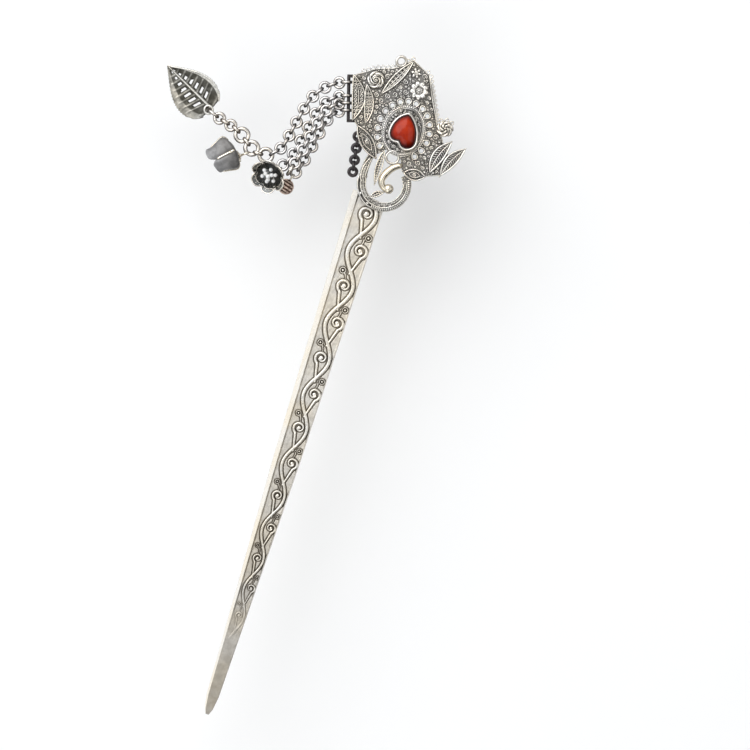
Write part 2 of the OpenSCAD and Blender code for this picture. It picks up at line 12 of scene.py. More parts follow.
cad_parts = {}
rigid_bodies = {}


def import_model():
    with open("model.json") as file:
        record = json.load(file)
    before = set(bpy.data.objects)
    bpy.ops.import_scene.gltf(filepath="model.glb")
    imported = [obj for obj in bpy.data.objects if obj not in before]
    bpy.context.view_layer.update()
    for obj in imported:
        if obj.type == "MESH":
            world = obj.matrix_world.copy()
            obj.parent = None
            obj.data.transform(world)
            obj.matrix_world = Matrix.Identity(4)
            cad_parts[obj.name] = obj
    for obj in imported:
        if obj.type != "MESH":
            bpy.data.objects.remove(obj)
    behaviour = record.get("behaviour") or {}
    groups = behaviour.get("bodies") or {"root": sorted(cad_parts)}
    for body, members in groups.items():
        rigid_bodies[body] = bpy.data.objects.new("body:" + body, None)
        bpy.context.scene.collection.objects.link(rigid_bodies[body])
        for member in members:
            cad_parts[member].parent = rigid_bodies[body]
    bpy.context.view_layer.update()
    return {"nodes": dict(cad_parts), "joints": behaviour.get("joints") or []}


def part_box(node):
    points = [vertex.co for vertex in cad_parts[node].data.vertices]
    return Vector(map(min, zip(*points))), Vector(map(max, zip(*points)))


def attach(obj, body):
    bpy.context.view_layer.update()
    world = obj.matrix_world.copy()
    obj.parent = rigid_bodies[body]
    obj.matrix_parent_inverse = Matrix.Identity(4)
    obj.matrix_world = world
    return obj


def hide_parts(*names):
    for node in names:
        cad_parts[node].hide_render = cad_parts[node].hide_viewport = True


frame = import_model()

MM = 0.001
UP = np.array([0.0, 0.0, 1.0])
EAST = np.array([1.0, 0.0])
NORTH = np.array([0.0, 1.0])
rng = np.random.default_rng(11)


# ---------------------------------------------------------------- reading the frame
def node_points(node):
    """The CAD node's vertices, in millimetres."""
    mesh = frame["nodes"][node].data
    flat = np.zeros(len(mesh.vertices) * 3)
    mesh.vertices.foreach_get("co", flat)
    return flat.reshape(-1, 3) / MM


def node_box(node):
    low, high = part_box(node)
    return np.array(low) / MM, np.array(high) / MM


def node_centre(node):
    low, high = node_box(node)
    return (low + high) / 2


def node_radius(node):
    low, high = node_box(node)
    return (high[0] - low[0]) / 2


def joint_place(name):
    for joint in frame["joints"]:
        if joint["name"] == name:
            return np.array(joint["pos_m"]) / MM
    raise ValueError(name)


PLATE = node_box("backplate")[1][2]


def unit(v):
    v = np.asarray(v, float)
    return v / np.maximum(np.linalg.norm(v, axis=-1, keepdims=True), 1e-9)


def left_of(v):
    return unit(np.array([-v[1], v[0]]))


class Petal:
    """A two-pointed leaf between p and q: its edges stand left and right of the chord."""

    def __init__(self, p, q, left, right):
        self.p, self.q, self.left, self.right = np.array(p), np.array(q), left, right

    def at(self, t, side):
        """A point at share t of the length; side runs from -1 on the right edge to 1 on the left."""
        t = np.asarray(t, float)
        side = np.asarray(side, float)
        rise = (self.left + self.right) / 2 + (self.left - self.right) / 2 * side
        along = self.p + np.multiply.outer(t, self.q - self.p)
        return along + np.multiply.outer(4 * t * (1 - t), left_of(self.q - self.p)) * rise[..., None]

    def edge(self, side, count=24, start=0.0, end=1.0):
        t = np.linspace(start, end, count)
        return self.at(t, np.full(count, float(side)))

    def outline(self, count=24):
        there, back = self.edge(1, count), self.edge(-1, count)[::-1]
        return np.concatenate([there, back[1:-1]])


def petal_of(node):
    """Reads the two tips and the two bulges of a CAD petal from its highest vertices."""
    points = node_points(node)
    points = points[points[:, 2] > points[:, 2].max() - 0.05][:, :2]
    gaps = np.linalg.norm(points[:, None] - points[None], axis=-1)
    i, j = np.unravel_index(gaps.argmax(), gaps.shape)
    p, q = points[i], points[j]
    if p[1] < q[1] or (p[1] == q[1] and p[0] > q[0]):
        p, q = q, p
    chord = q - p
    t = (points - p) @ chord / (chord @ chord)
    offset = (points - p) @ left_of(chord)
    middle = np.abs(t - 0.5) < 0.07
    return Petal(p, q, offset[middle].max(), offset[middle].min())


# ---------------------------------------------------------------- building meshes
class Form:
    """Collects closed shells. tone is 1 on rubbed high metal and 0 in blackened recesses; on some pieces it
    also carries painted light and shade, such as sides painted dark and tops or lit sides painted bright.
    """

    def __init__(self):
        self.points, self.faces, self.tones, self.count = [], [], [], 0

    def add(self, points, faces, tone=1.0):
        points = np.asarray(points, float).reshape(-1, 3)
        self.points.append(points)
        self.tones.append(np.broadcast_to(np.asarray(tone, float), (len(points),)).copy())
        for group in faces:
            group = np.asarray(group)
            if group.ndim == 1:
                self.faces.append(tuple(int(i) + self.count for i in group))
            else:
                self.faces.extend(map(tuple, (group + self.count).tolist()))
        self.count += len(points)

    def piece(self, name, body, node_names, slot, material, shade_and_wear=True):
        """Makes the mesh; unless told not to, it paints shade on faces that look sideways or down, darkening
        their tone by how far they turn from straight up.
        """
        mesh = bpy.data.meshes.new(name)
        mesh.from_pydata(np.concatenate(self.points) * MM, [], self.faces)
        shape = bmesh.new()
        shape.from_mesh(mesh)
        bmesh.ops.recalc_face_normals(shape, faces=shape.faces)
        shape.to_mesh(mesh)
        shape.free()
        mesh.polygons.foreach_set("use_smooth", np.ones(len(mesh.polygons), bool))
        shade = np.concatenate(self.tones)
        if shade_and_wear:
            normal = np.zeros(len(mesh.vertices) * 3)
            mesh.vertex_normals.foreach_get("vector", normal)
            # painted shade: tone darkened on faces that look sideways or down
            shade = shade * np.clip((normal[2::3] + 0.1) / 0.6, 0.05, 1)
        tone = mesh.attributes.new("tone", "FLOAT", "POINT")
        tone.data.foreach_set("value", shade.astype(np.float32))
        made = bpy.data.objects.new(name, mesh)
        bpy.context.scene.collection.objects.link(made)
        mesh.materials.append(material)
        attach(made, body)
        if node_names:
            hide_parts(*node_names)
        return made


def capped(count, sides):
    """The faces of count rings of points joined into a tube with two flat ends."""
    last = (count - 1) * sides
    return [quads(count, sides, False, True), np.arange(sides)[::-1], np.arange(sides) + last]


def around(count, first=0.0):
    """Evenly spaced angles of a full turn."""
    return first + np.arange(count) * 2 * math.pi / count


def spoke(angle, a, b):
    """Directions at the given angles in the plane of a and b."""
    angle = np.asarray(angle)[..., None]
    return np.cos(angle) * a + np.sin(angle) * b


def quads(rows, columns, wrap_rows=False, wrap_columns=False):
    i, j = np.meshgrid(
        np.arange(rows if wrap_rows else rows - 1),
        np.arange(columns if wrap_columns else columns - 1),
        indexing="ij",
    )
    k, m = (i + 1) % rows, (j + 1) % columns
    corners = [i * columns + j, i * columns + m, k * columns + m, k * columns + j]
    return np.stack(corners, -1).reshape(-1, 4)


def flat_path(points, z):
    points = np.asarray(points, float)
    return np.column_stack([points, np.broadcast_to(np.asarray(z, float), (len(points),))])


def on_plate(points, height):
    """Plan points lifted to a height over the head plate."""
    return flat_path(points, PLATE + height)


def frames_along(path, closed):
    if closed:
        along = np.roll(path, -1, 0) - np.roll(path, 1, 0)
    else:
        along = np.gradient(path, axis=0)
    along = unit(along)
    side = np.cross(UP, along)
    weak = np.linalg.norm(side, axis=1) < 0.05
    side[weak] = np.cross([1.0, 0.0, 0.0], along[weak])
    side = unit(side)
    return along, side, np.cross(along, side)


def tube(form, path, radius, sides=8, closed=False, rise=1.0, tone=1.0, groove=0.0):
    """A round wire along path; rise stretches its height, groove sinks a line along its top."""
    path = np.asarray(path, float)
    radius = np.broadcast_to(np.asarray(radius, float), (len(path),))
    _, side, over = frames_along(path, closed)
    angle = around(sides)
    depth = 1 - groove * np.exp(-(((angle - math.pi / 2) / 0.35) ** 2))
    across = np.cos(angle)[None, :, None] * side[:, None]
    height = (np.sin(angle) * depth)[None, :, None] * over[:, None] * rise
    rings = path[:, None] + radius[:, None, None] * (across + height)
    faces = [quads(len(path), sides, True, True)] if closed else capped(len(path), sides)
    shade = np.broadcast_to(np.asarray(tone, float), (len(path),))
    form.add(rings, faces, np.repeat(shade, sides))


def ball(form, centre, radius, rise=1.0, sides=12, rings=7, tone=1.0):
    """A round grain; rise flattens it."""
    polar = np.linspace(0, math.pi, rings + 2)[1:-1]
    turn = around(sides)
    x = np.outer(np.sin(polar), np.cos(turn))
    y = np.outer(np.sin(polar), np.sin(turn))
    z = np.repeat(np.cos(polar)[:, None], sides, 1) * rise
    points = np.stack([x, y, z], -1).reshape(-1, 3)
    points = np.vstack([points, [0, 0, rise], [0, 0, -rise]]) * radius + np.asarray(centre)
    count = rings * sides
    here = np.arange(sides)
    after = (here + 1) % sides
    top = np.column_stack([np.full(sides, count), here, after])
    base = (rings - 1) * sides
    bottom = np.column_stack([np.full(sides, count + 1), base + after, base + here])
    form.add(points, [quads(rings, sides, False, True), top, bottom], tone)


def grain(form, centre, radius, tone=1.0):
    ball(form, centre, radius, sides=8, rings=4, tone=tone)


def ring(form, centre, radius, wire, sides=8, count=24, rise=1.0, axis=None):
    """A closed wire ring: level, or square to the given axis."""
    if axis is None:
        circle = flat_path(arc((0, 0), radius, 0, 360, count + 1)[:-1], 0)
        tube(form, circle + np.asarray(centre), wire, sides, True, rise)
    else:
        circle = radius * spoke(around(count), *across_axes(axis))
        turned_ring(form, circle + centre, axis, wire, sides)


def across_axes(axis):
    axis = unit(axis)
    a = np.cross(UP, axis)
    a = unit(a) if np.linalg.norm(a) > 1e-6 else np.array([1.0, 0.0, 0.0])
    return a, np.cross(axis, a)


def turned_ring(form, circle, axis, wire, sides):
    """A wire around a closed loop whose plane has the given axis."""
    along = unit(np.roll(circle, -1, 0) - np.roll(circle, 1, 0))
    axis = unit(axis)
    out = np.cross(along, axis)
    rings = circle[:, None] + wire * spoke(around(sides), out[:, None], axis)
    form.add(rings, [quads(len(circle), sides, True, True)])


def resample(path, step):
    """The same line with its points a step apart."""
    path = np.asarray(path, float)
    gone = np.concatenate([[0], np.cumsum(np.linalg.norm(np.diff(path, axis=0), axis=1))])
    count = max(3, int(round(gone[-1] / step)) + 1)
    wanted = np.linspace(0, gone[-1], count)
    return np.column_stack([np.interp(wanted, gone, path[:, k]) for k in range(path.shape[1])])


def rope(form, path, radius, wire, pitch, tone=1.0, closed=False):
    """Two wires twisted round each other along path."""
    if closed:
        path = np.vstack([path, path[:1]])
    path = resample(path, pitch / 8)
    if closed:
        turns = max(1, round((len(path) - 1) / 8))
        path = path[:-1]
    else:
        turns = (len(path) - 1) / 8
    _, side, over = frames_along(path, closed)
    for start in (0, math.pi):
        angle = start + np.arange(len(path)) / len(path) * 2 * math.pi * turns
        moved = path + radius * (np.cos(angle)[:, None] * side + np.sin(angle)[:, None] * over)
        tube(form, moved, wire, 6, closed, tone=tone)


def arc(centre, radius, start, end, count):
    angle = np.radians(np.linspace(start, end, count))
    return np.asarray(centre) + radius * spoke(angle, EAST, NORTH)


def bow(p, q, bulge, count=16):
    return Petal(p, q, bulge, bulge).edge(1, count)


def scroll(centre, outer, inner, start, turns, count=26):
    """A flat spiral from the outer to the inner radius. Angles in degrees, turns may be negative."""
    share = np.linspace(0, 1, count)
    angle = np.radians(start + 360 * turns * share)
    radius = outer + (inner - outer) * share
    return np.asarray(centre) + radius[:, None] * spoke(angle, EAST, NORTH)


def lathe(form, profile, base, axis, count=48, lobes=None, tone=1.0):
    """Turns profile rows (distance along the axis, radius) into a closed shell.

    lobes(row, angle) gives a radius factor and an added length."""
    a, b = across_axes(axis)
    axis = unit(axis)
    angle = around(count)
    rows = []
    for k, (length, radius) in enumerate(profile):
        factor, extra = lobes(k, angle) if lobes else (1.0, 0.0)
        r = np.broadcast_to(radius * factor, angle.shape)[:, None]
        h = np.broadcast_to(length + extra, angle.shape)[:, None]
        rows.append(base + h * axis + r * spoke(angle, a, b))
    shade = np.repeat(np.broadcast_to(np.asarray(tone, float), (len(profile),)), count)
    form.add(np.array(rows), capped(len(profile), count), shade)


# ---------------------------------------------------------------- materials
def nodes_of(name):
    material = bpy.data.materials.new(name)
    material.use_nodes = True
    tree = material.node_tree
    tree.nodes.clear()
    output = tree.nodes.new("ShaderNodeOutputMaterial")
    shader = tree.nodes.new("ShaderNodeBsdfPrincipled")
    tree.links.new(shader.outputs["BSDF"], output.inputs["Surface"])
    return material, tree, shader


def noise(tree, scale, detail=4.0, rough=0.55):
    """Noise in object space. scale counts per millimetre."""
    place = tree.nodes.new("ShaderNodeTexCoord")
    made = tree.nodes.new("ShaderNodeTexNoise")
    made.inputs["Scale"].default_value = scale / MM
    made.inputs["Detail"].default_value = detail
    made.inputs["Roughness"].default_value = rough
    tree.links.new(place.outputs["Object"], made.inputs["Vector"])
    return made.outputs["Fac"]


def ramp(tree, value, low, high, start=0.0, end=1.0):
    made = tree.nodes.new("ShaderNodeMapRange")
    made.interpolation_type = "SMOOTHSTEP"
    for socket, number in zip(("From Min", "From Max", "To Min", "To Max"), (low, high, start, end)):
        made.inputs[socket].default_value = number
    tree.links.new(value, made.inputs["Value"])
    return made.outputs["Result"]


def maths(tree, operation, first, second):
    made = tree.nodes.new("ShaderNodeMath")
    made.operation = operation
    for socket, value in zip(made.inputs, (first, second)):
        if isinstance(value, (int, float)):
            socket.default_value = value
        else:
            tree.links.new(value, socket)
    return made.outputs[0]


def blended(tree, share, first, second):
    made = tree.nodes.new("ShaderNodeMix")
    made.data_type = "RGBA"
    tree.links.new(share, made.inputs["Factor"])
    for socket, value in zip((made.inputs[6], made.inputs[7]), (first, second)):
        if isinstance(value, tuple):
            socket.default_value = (*value, 1)
        else:
            tree.links.new(value, socket)
    return made.outputs[2]


def hollows(tree, distance):
    """1 on open metal, 0 deep between neighbouring shapes."""
    made = tree.nodes.new("ShaderNodeAmbientOcclusion")
    made.samples = 6
    made.inputs["Distance"].default_value = distance * MM
    return made.outputs["AO"]


def tone_of(tree):
    made = tree.nodes.new("ShaderNodeAttribute")
    made.attribute_name = "tone"
    return made.outputs["Fac"]


def bump(tree, shader, height, strength, distance):
    made = tree.nodes.new("ShaderNodeBump")
    made.inputs["Strength"].default_value = strength
    made.inputs["Distance"].default_value = distance * MM
    tree.links.new(height, made.inputs["Height"])
    tree.links.new(made.outputs["Normal"], shader.inputs["Normal"])


def antique_metal(name, bright, dark, rough, reach=0.5, keep=0.0, toned=True, grit=0.25, patchy=0.55):
    """Metal that is rubbed bright on top and blackened in its hollows; a toned piece also brings its painted
    light and shade.

    reach is how far a hollow darkens, keep the share of light that still counts as dark, toned whether the
    piece's own tone is used, grit the depth of the grain and patchy the darkest of the rubbed patches."""
    material, tree, shader = nodes_of(name)
    shader.inputs["Metallic"].default_value = 1.0
    open_metal = ramp(tree, hollows(tree, reach), 0.25, 0.85)
    if toned:
        open_metal = maths(tree, "MULTIPLY", open_metal, tone_of(tree))
    patches = ramp(tree, noise(tree, 0.55, 5), 0.3, 0.75, patchy, 1.1)
    share = maths(tree, "MULTIPLY", open_metal, patches)
    share = ramp(tree, share, keep, 0.8)
    warm = tuple(c * f for c, f in zip(bright, (1.0, 0.955, 0.87)))
    metal = blended(tree, ramp(tree, noise(tree, 0.12, 3), 0.35, 0.65), bright, warm)
    tree.links.new(blended(tree, share, dark, metal), shader.inputs["Base Color"])
    smudge = ramp(tree, noise(tree, 1.3, 4), 0.3, 0.7, rough[0], rough[1])
    # rougher where the metal is darkened, by patina and by painted shade
    shade_and_wear = maths(tree, "MULTIPLY", maths(tree, "SUBTRACT", 1.0, share), 0.28)
    tree.links.new(maths(tree, "ADD", smudge, shade_and_wear), shader.inputs["Roughness"])
    bump(tree, shader, noise(tree, 6.0, 6, 0.6), grit, 0.02)
    return material


SILVER = antique_metal(
    "silver_antique", (0.96, 0.94, 0.90), (0.055, 0.048, 0.04), rough=(0.15, 0.28), reach=0.42, keep=0.06
)
BLADE_SILVER = antique_metal(
    "silver_blade", (0.93, 0.90, 0.84), (0.12, 0.10, 0.075), rough=(0.24, 0.38), grit=0.15, patchy=0.86
)
BRIGHT = antique_metal(
    "silver_polished", (0.90, 0.885, 0.86), (0.09, 0.08, 0.07), rough=(0.1, 0.2), reach=0.4, grit=0.08
)
GROUND = antique_metal(
    "silver_blackened", (0.27, 0.262, 0.25), (0.025, 0.022, 0.02), rough=(0.35, 0.55), reach=0.7, keep=0.05,
    toned=False, grit=0.6
)
CHAIN = antique_metal(
    "silver_chain", (0.78, 0.755, 0.75), (0.028, 0.024, 0.025), rough=(0.16, 0.3), reach=0.75, keep=0.05,
    grit=0.15
)
WARM = antique_metal("silver_warm", (0.88, 0.83, 0.73), (0.16, 0.11, 0.06), rough=(0.12, 0.25), grit=0.1)
BELL_DARK = antique_metal(
    "silver_bell", (0.16, 0.17, 0.175), (0.01, 0.01, 0.012), rough=(0.22, 0.42), reach=0.8, grit=0.35
)
RINGS = antique_metal("silver_rings", (0.92, 0.88, 0.83), (0.07, 0.045, 0.035), rough=(0.12, 0.26), grit=0.1)
PLAIN = antique_metal(
    "silver_plain", (0.88, 0.86, 0.82), (0.08, 0.07, 0.06), rough=(0.16, 0.3), toned=False, grit=0.1
)
ROSY = antique_metal(
    "silver_rosy", (0.80, 0.66, 0.60), (0.09, 0.045, 0.03), rough=(0.18, 0.34), keep=0.1, grit=0.2
)
LEAF = antique_metal("silver_leaf", (0.78, 0.765, 0.72), (0.035, 0.033, 0.024), rough=(0.22, 0.38), grit=0.35)
# black metal for the edge chain and the chain bar, darker than the oxide alone: partly dark oxide, partly
# painted shadow behind the head's left edge
EDGE_BLACK = antique_metal(
    "silver_edge_chain", (0.07, 0.065, 0.07), (0.008, 0.008, 0.008), rough=(0.2, 0.4), reach=0.7,
    toned=False, grit=0.3
)


def stone_material():
    material, tree, shader = nodes_of("red_stone")
    # the tone holds painted light and shade: near black at the rim, red inward and brighter towards the upper
    # left; the veins are the stone's own pattern
    depth = ramp(tree, tone_of(tree), 0.0, 1.0)
    veins = ramp(tree, noise(tree, 0.35, 6, 0.65), 0.35, 0.7)
    body = blended(tree, depth, (0.04, 0.001, 0.0005), (0.38, 0.017, 0.001))
    veins_and_light = blended(tree, maths(tree, "MULTIPLY", veins, depth), body, (0.50, 0.032, 0.001))
    tree.links.new(veins_and_light, shader.inputs["Base Color"])
    shader.inputs["Specular IOR Level"].default_value = 0.2
    shader.inputs["Coat Weight"].default_value = 0.2
    shader.inputs["Coat Roughness"].default_value = 0.04
    tree.links.new(ramp(tree, noise(tree, 2.0, 3), 0.3, 0.7, 0.12, 0.24), shader.inputs["Roughness"])
    bump(tree, shader, noise(tree, 0.8, 3), 0.05, 0.03)
    return material


def frosted_material():
    material, tree, shader = nodes_of("frosted_grey")
    # the tone is darker towards the stem, and painted dark inside the cup as shade
    dark_stem_and_inner_shade = tone_of(tree)
    cloud = ramp(tree, noise(tree, 0.5, 5), 0.3, 0.7)
    dim = blended(tree, cloud, (0.045, 0.041, 0.036), (0.15, 0.14, 0.13))
    pale = blended(tree, cloud, (0.28, 0.28, 0.285), (0.46, 0.465, 0.475))
    tree.links.new(blended(tree, dark_stem_and_inner_shade, dim, pale), shader.inputs["Base Color"])
    shader.inputs["Metallic"].default_value = 0.35
    tree.links.new(ramp(tree, noise(tree, 2.5, 4), 0.3, 0.7, 0.38, 0.55), shader.inputs["Roughness"])
    shader.inputs["Coat Weight"].default_value = 0.15
    bump(tree, shader, noise(tree, 4.0, 5), 0.2, 0.03)
    return material


def white_bead_material():
    material, tree, shader = nodes_of("white_bead")
    pearl = ramp(tree, noise(tree, 0.9, 4), 0.3, 0.7)
    tree.links.new(blended(tree, pearl, (0.86, 0.84, 0.80), (0.97, 0.96, 0.95)), shader.inputs["Base Color"])
    tree.links.new(ramp(tree, noise(tree, 2.0, 2), 0.3, 0.7, 0.1, 0.2), shader.inputs["Roughness"])
    shader.inputs["Coat Weight"].default_value = 0.5
    shader.inputs["Subsurface Weight"].default_value = 0.1
    bump(tree, shader, noise(tree, 3.0, 3), 0.05, 0.02)
    return material


STONE = stone_material()
FROSTED = frosted_material()
PEARL = white_bead_material()


# ---------------------------------------------------------------- blade
def blade_half_width():
    """Half the blade's width as a function of y, from the CAD outline on its flat back."""
    points = node_points("blade")
    back = points[(points[:, 2] < 0.01) & (points[:, 0] > 0.2)]
    back = back[back[:, 1] < 0.5]
    order = back[np.argsort(back[:, 1])]
    return lambda y: np.interp(y, order[:, 1], order[:, 0])


def blade_vine(half):
    """Samples of the cast vine: x, y, half width, height and whether it has a double line."""
    samples = []

    def line(path, width, height, double):
        path = resample(path, 0.12)
        share = np.linspace(0, 1, len(path))
        width = np.interp(share, np.linspace(0, 1, len(width)), width)
        samples.append(np.column_stack([path, width, np.full(len(path), height), np.full(len(path), double)]))

    def disc(x, y, radius, height):
        samples.append(np.array([[x, y, radius, height, 0.0]]))

    y, phase, stem = 4.5, -math.radians(35), []
    crossings = []
    while y > VINE_END:
        scale = half(y) / half(-5)
        wave = 19.6 * min(1.0, 0.45 + 0.62 * scale)
        x = VINE_CENTRE * scale + VINE_SWING * scale * math.sin(phase)
        stem.append((x, y))
        before = math.cos(phase)
        phase += 2 * math.pi * 0.2 / wave
        if before * math.cos(phase) < 0:
            crossings.append((y, 1 if before > 0 else -1, wave, scale))
        y -= 0.2
    line(np.array(stem), [0.62, 0.58, 0.5, 0.4, 0.28], 0.55, 1.0)
    for y, side, wave, scale in crossings:
        # side is 1 where the stem stands at the right, so the bay is on the left
        x = (VINE_CENTRE + 0.35 - side * 0.62) * scale
        y = y + 0.03 * wave
        outer = 1.95 * scale
        path = scroll((x, y), outer, 0.72 * scale, -90 - side * 25, side * -1.1, 60)
        line(path, [0.5 * scale, 0.42 * scale, 0.3 * scale], 0.5, 1.0)
        disc(x - side * 0.05, y, 0.74 * scale, 0.42)
        root = (VINE_CENTRE * scale, y - 0.33 * wave)
        line(np.array([root, path[0]]), [0.35 * scale, 0.5 * scale], 0.5, 0.0)
        boss = ((VINE_CENTRE + 0.1 - side * 2.0) * scale, y + 0.195 * wave)
        line(scroll(boss, 0.78 * scale, 0.78 * scale, 40, 1, 26), [0.2 * scale, 0.2 * scale], 0.45, 0.0)
        disc(boss[0], boss[1], 0.45 * scale, 0.42)
        bud = ((VINE_CENTRE - side * 1.1) * scale, y + 0.16 * wave)
        line(bow(bud, (bud[0] + side * 0.5 * scale, bud[1] - 0.09 * wave), 0.2), [0.3 * scale, 0.1], 0.4, 0.0)
    return np.concatenate(samples)


VINE_CENTRE = 1.05
VINE_SWING = 2.2
VINE_END = -121.0
GROUND_DROP = 0.52
GROOVE = 0.16


def vine_height(x, y, samples):
    """Height of the relief over its ground at each point."""
    height = np.zeros(len(x))
    cut = np.zeros(len(x))
    order = np.argsort(y)
    step = 3000
    for start in range(0, len(x), step):
        rows = order[start:start + step]
        low, high = y[rows].min() - 1.6, y[rows].max() + 1.6
        near = samples[(samples[:, 1] > low) & (samples[:, 1] < high)]
        if not len(near):
            continue
        gap = np.hypot(x[rows, None] - near[None, :, 0], y[rows, None] - near[None, :, 1])
        width = near[None, :, 2]
        share = gap / width
        round_top = near[None, :, 3] * np.sqrt(np.clip(1 - share**2, 0, 1))
        line = near[None, :, 4] * 0.2 * np.exp(-((gap / (0.2 * width)) ** 2))
        height[rows] = (round_top - line * (share < 1)).max(1)
        outside = (gap - width).min(1)
        cut[rows] = np.exp(-(((outside - 0.04) / 0.13) ** 2))
    return height, cut


def make_blade():
    low, high = node_box("blade")
    half = blade_half_width()
    top = high[2]
    edge_height = 1.1
    left_bevel, right_bevel = 1.4, 0.6
    rows = int((high[1] - low[1]) / 0.11)
    across = np.concatenate([
        np.linspace(0, 1, 9)[:-1] * 0.16,
        0.16 + np.linspace(0, 1, 84) * 0.78,
        0.94 + np.linspace(0, 1, 7)[1:] * 0.06,
    ])
    down = np.linspace(0, 1, rows)
    y = high[1] + (low[1] - high[1]) * down
    head = np.array([node_box("crescent_scroll")[1][0] - 6.05, node_box("crescent_scroll")[0][1] + 6.05])
    Y, A = np.meshgrid(y, across, indexing="ij")
    H = half(Y)
    X = (A * 2 - 1) * H
    cut = head[1] - np.sqrt(np.clip(5.2**2 - (X - head[0]) ** 2, 0, None))
    roof = np.minimum(high[1], np.where(np.abs(X - head[0]) < 5.2, cut, high[1]))
    Y = np.where(Y > 0, Y * roof / high[1], Y)
    relief, groove = vine_height(X.ravel(), Y.ravel(), blade_vine(half))
    relief, groove = relief.reshape(X.shape), groove.reshape(X.shape)
    scale = H / half(-5.0)
    ends = np.clip((Y - (VINE_END + 1)) / 26, 0, 1)
    ends = ends * ends * (3 - 2 * ends)
    from_left, from_right = X + H, H - X
    left_width = left_bevel * scale
    right_width = right_bevel * scale
    field = np.clip((from_left - left_width - 0.12) / 0.3, 0, 1) * np.clip((from_right - 0.1) / 0.35, 0, 1)
    ground = top - GROUND_DROP * field * ends
    Z = ground + (relief - GROOVE * groove) * field * ends
    Z = np.minimum(Z, top)
    left_slope = edge_height + (top - edge_height) * from_left / left_width
    right_slope = edge_height + 0.55 + (top - edge_height - 0.55) * np.sin(
        np.clip(from_right / right_width, 0, 1) * math.pi / 2
    )
    Z = np.minimum(Z, np.where(from_left < left_width, left_slope, top))
    Z = np.minimum(Z, np.where(from_right < right_width, np.maximum(right_slope, edge_height), top))
    hammer = 0.012 * np.sin(X * 5.1 + Y * 1.7) * np.sin(Y * 3.3 - X * 2.1)
    Z = Z + np.minimum(0, hammer) * field
    tone = 0.6 + (0.3 * np.clip(relief / 0.5, 0, 1) - 0.42 * groove) * field * ends
    tone = tone * np.interp(Y, [low[1], -112, -90, -30, 5], [0.56, 0.64, 0.76, 0.9, 0.88])
    # painted highlight: the left bevel's tone is set above full, bright where the light from the left falls
    # on it
    tone = np.where(from_left < left_width, 1.2, np.clip(tone, 0.05, 1))
    form = Form()
    grid = np.stack([X, Y, Z], -1)
    count, width = X.shape
    skirt = [grid[:, -1], grid[:, 0]]
    lows = [np.column_stack([e[:, :2], np.full(len(e), 0.25)]) for e in skirt]
    feet = [np.column_stack([e[:, 0] * 0.985, e[:, 1], np.zeros(len(e))]) for e in skirt]
    body = np.concatenate([
        grid,
        lows[0][:, None], feet[0][:, None], feet[1][:, None], lows[1][:, None],
    ], axis=1)
    shade = np.concatenate([tone, np.full((count, 4), 0.85)], axis=1)
    wide = width + 4
    form.add(body, capped(count, wide), shade.ravel())
    return form.piece("blade_relief", "pin", ["blade"], "silver", BLADE_SILVER, False)


# ---------------------------------------------------------------- stone
def heart_centre():
    low, high = node_box("heart_stone")
    return np.array([(low[0] + high[0]) / 2, (low[1] + high[1]) / 2 - 0.3])


def outline_by_angle(node, count):
    """Distance from the stone's centre to a CAD node's outer edge, for evenly spaced angles."""
    points = node_points(node)
    points = points[points[:, 2] < points[:, 2].min() + 0.05][:, :2] - heart_centre()
    angle, reach = np.arctan2(points[:, 1], points[:, 0]), np.linalg.norm(points, axis=1)
    kept = np.ones(len(points), bool)
    for i in range(len(points)):
        near = np.abs(np.angle(np.exp(1j * (angle - angle[i])))) < 0.12
        kept[i] = reach[i] > reach[near].max() - 0.45
    order = np.argsort(angle[kept])
    turn = np.arange(count) * 2 * math.pi / count - math.pi
    return turn, np.interp(turn, angle[kept][order], reach[kept][order], period=2 * math.pi)


def heart_outline(grow, count=160):
    """The heart's outline around the stone's centre, grown all round."""
    turn, inner = outline_by_angle("heart_stone", count)
    outer = outline_by_angle("bezel_cup", count)[1]
    share = (grow + 0.03) / 0.73
    reach = inner + (outer - inner) * share
    for _ in range(3):
        reach = (np.roll(reach, 1) + 2 * reach + np.roll(reach, -1)) / 4
    return spoke(turn, EAST, NORTH) * reach[:, None]


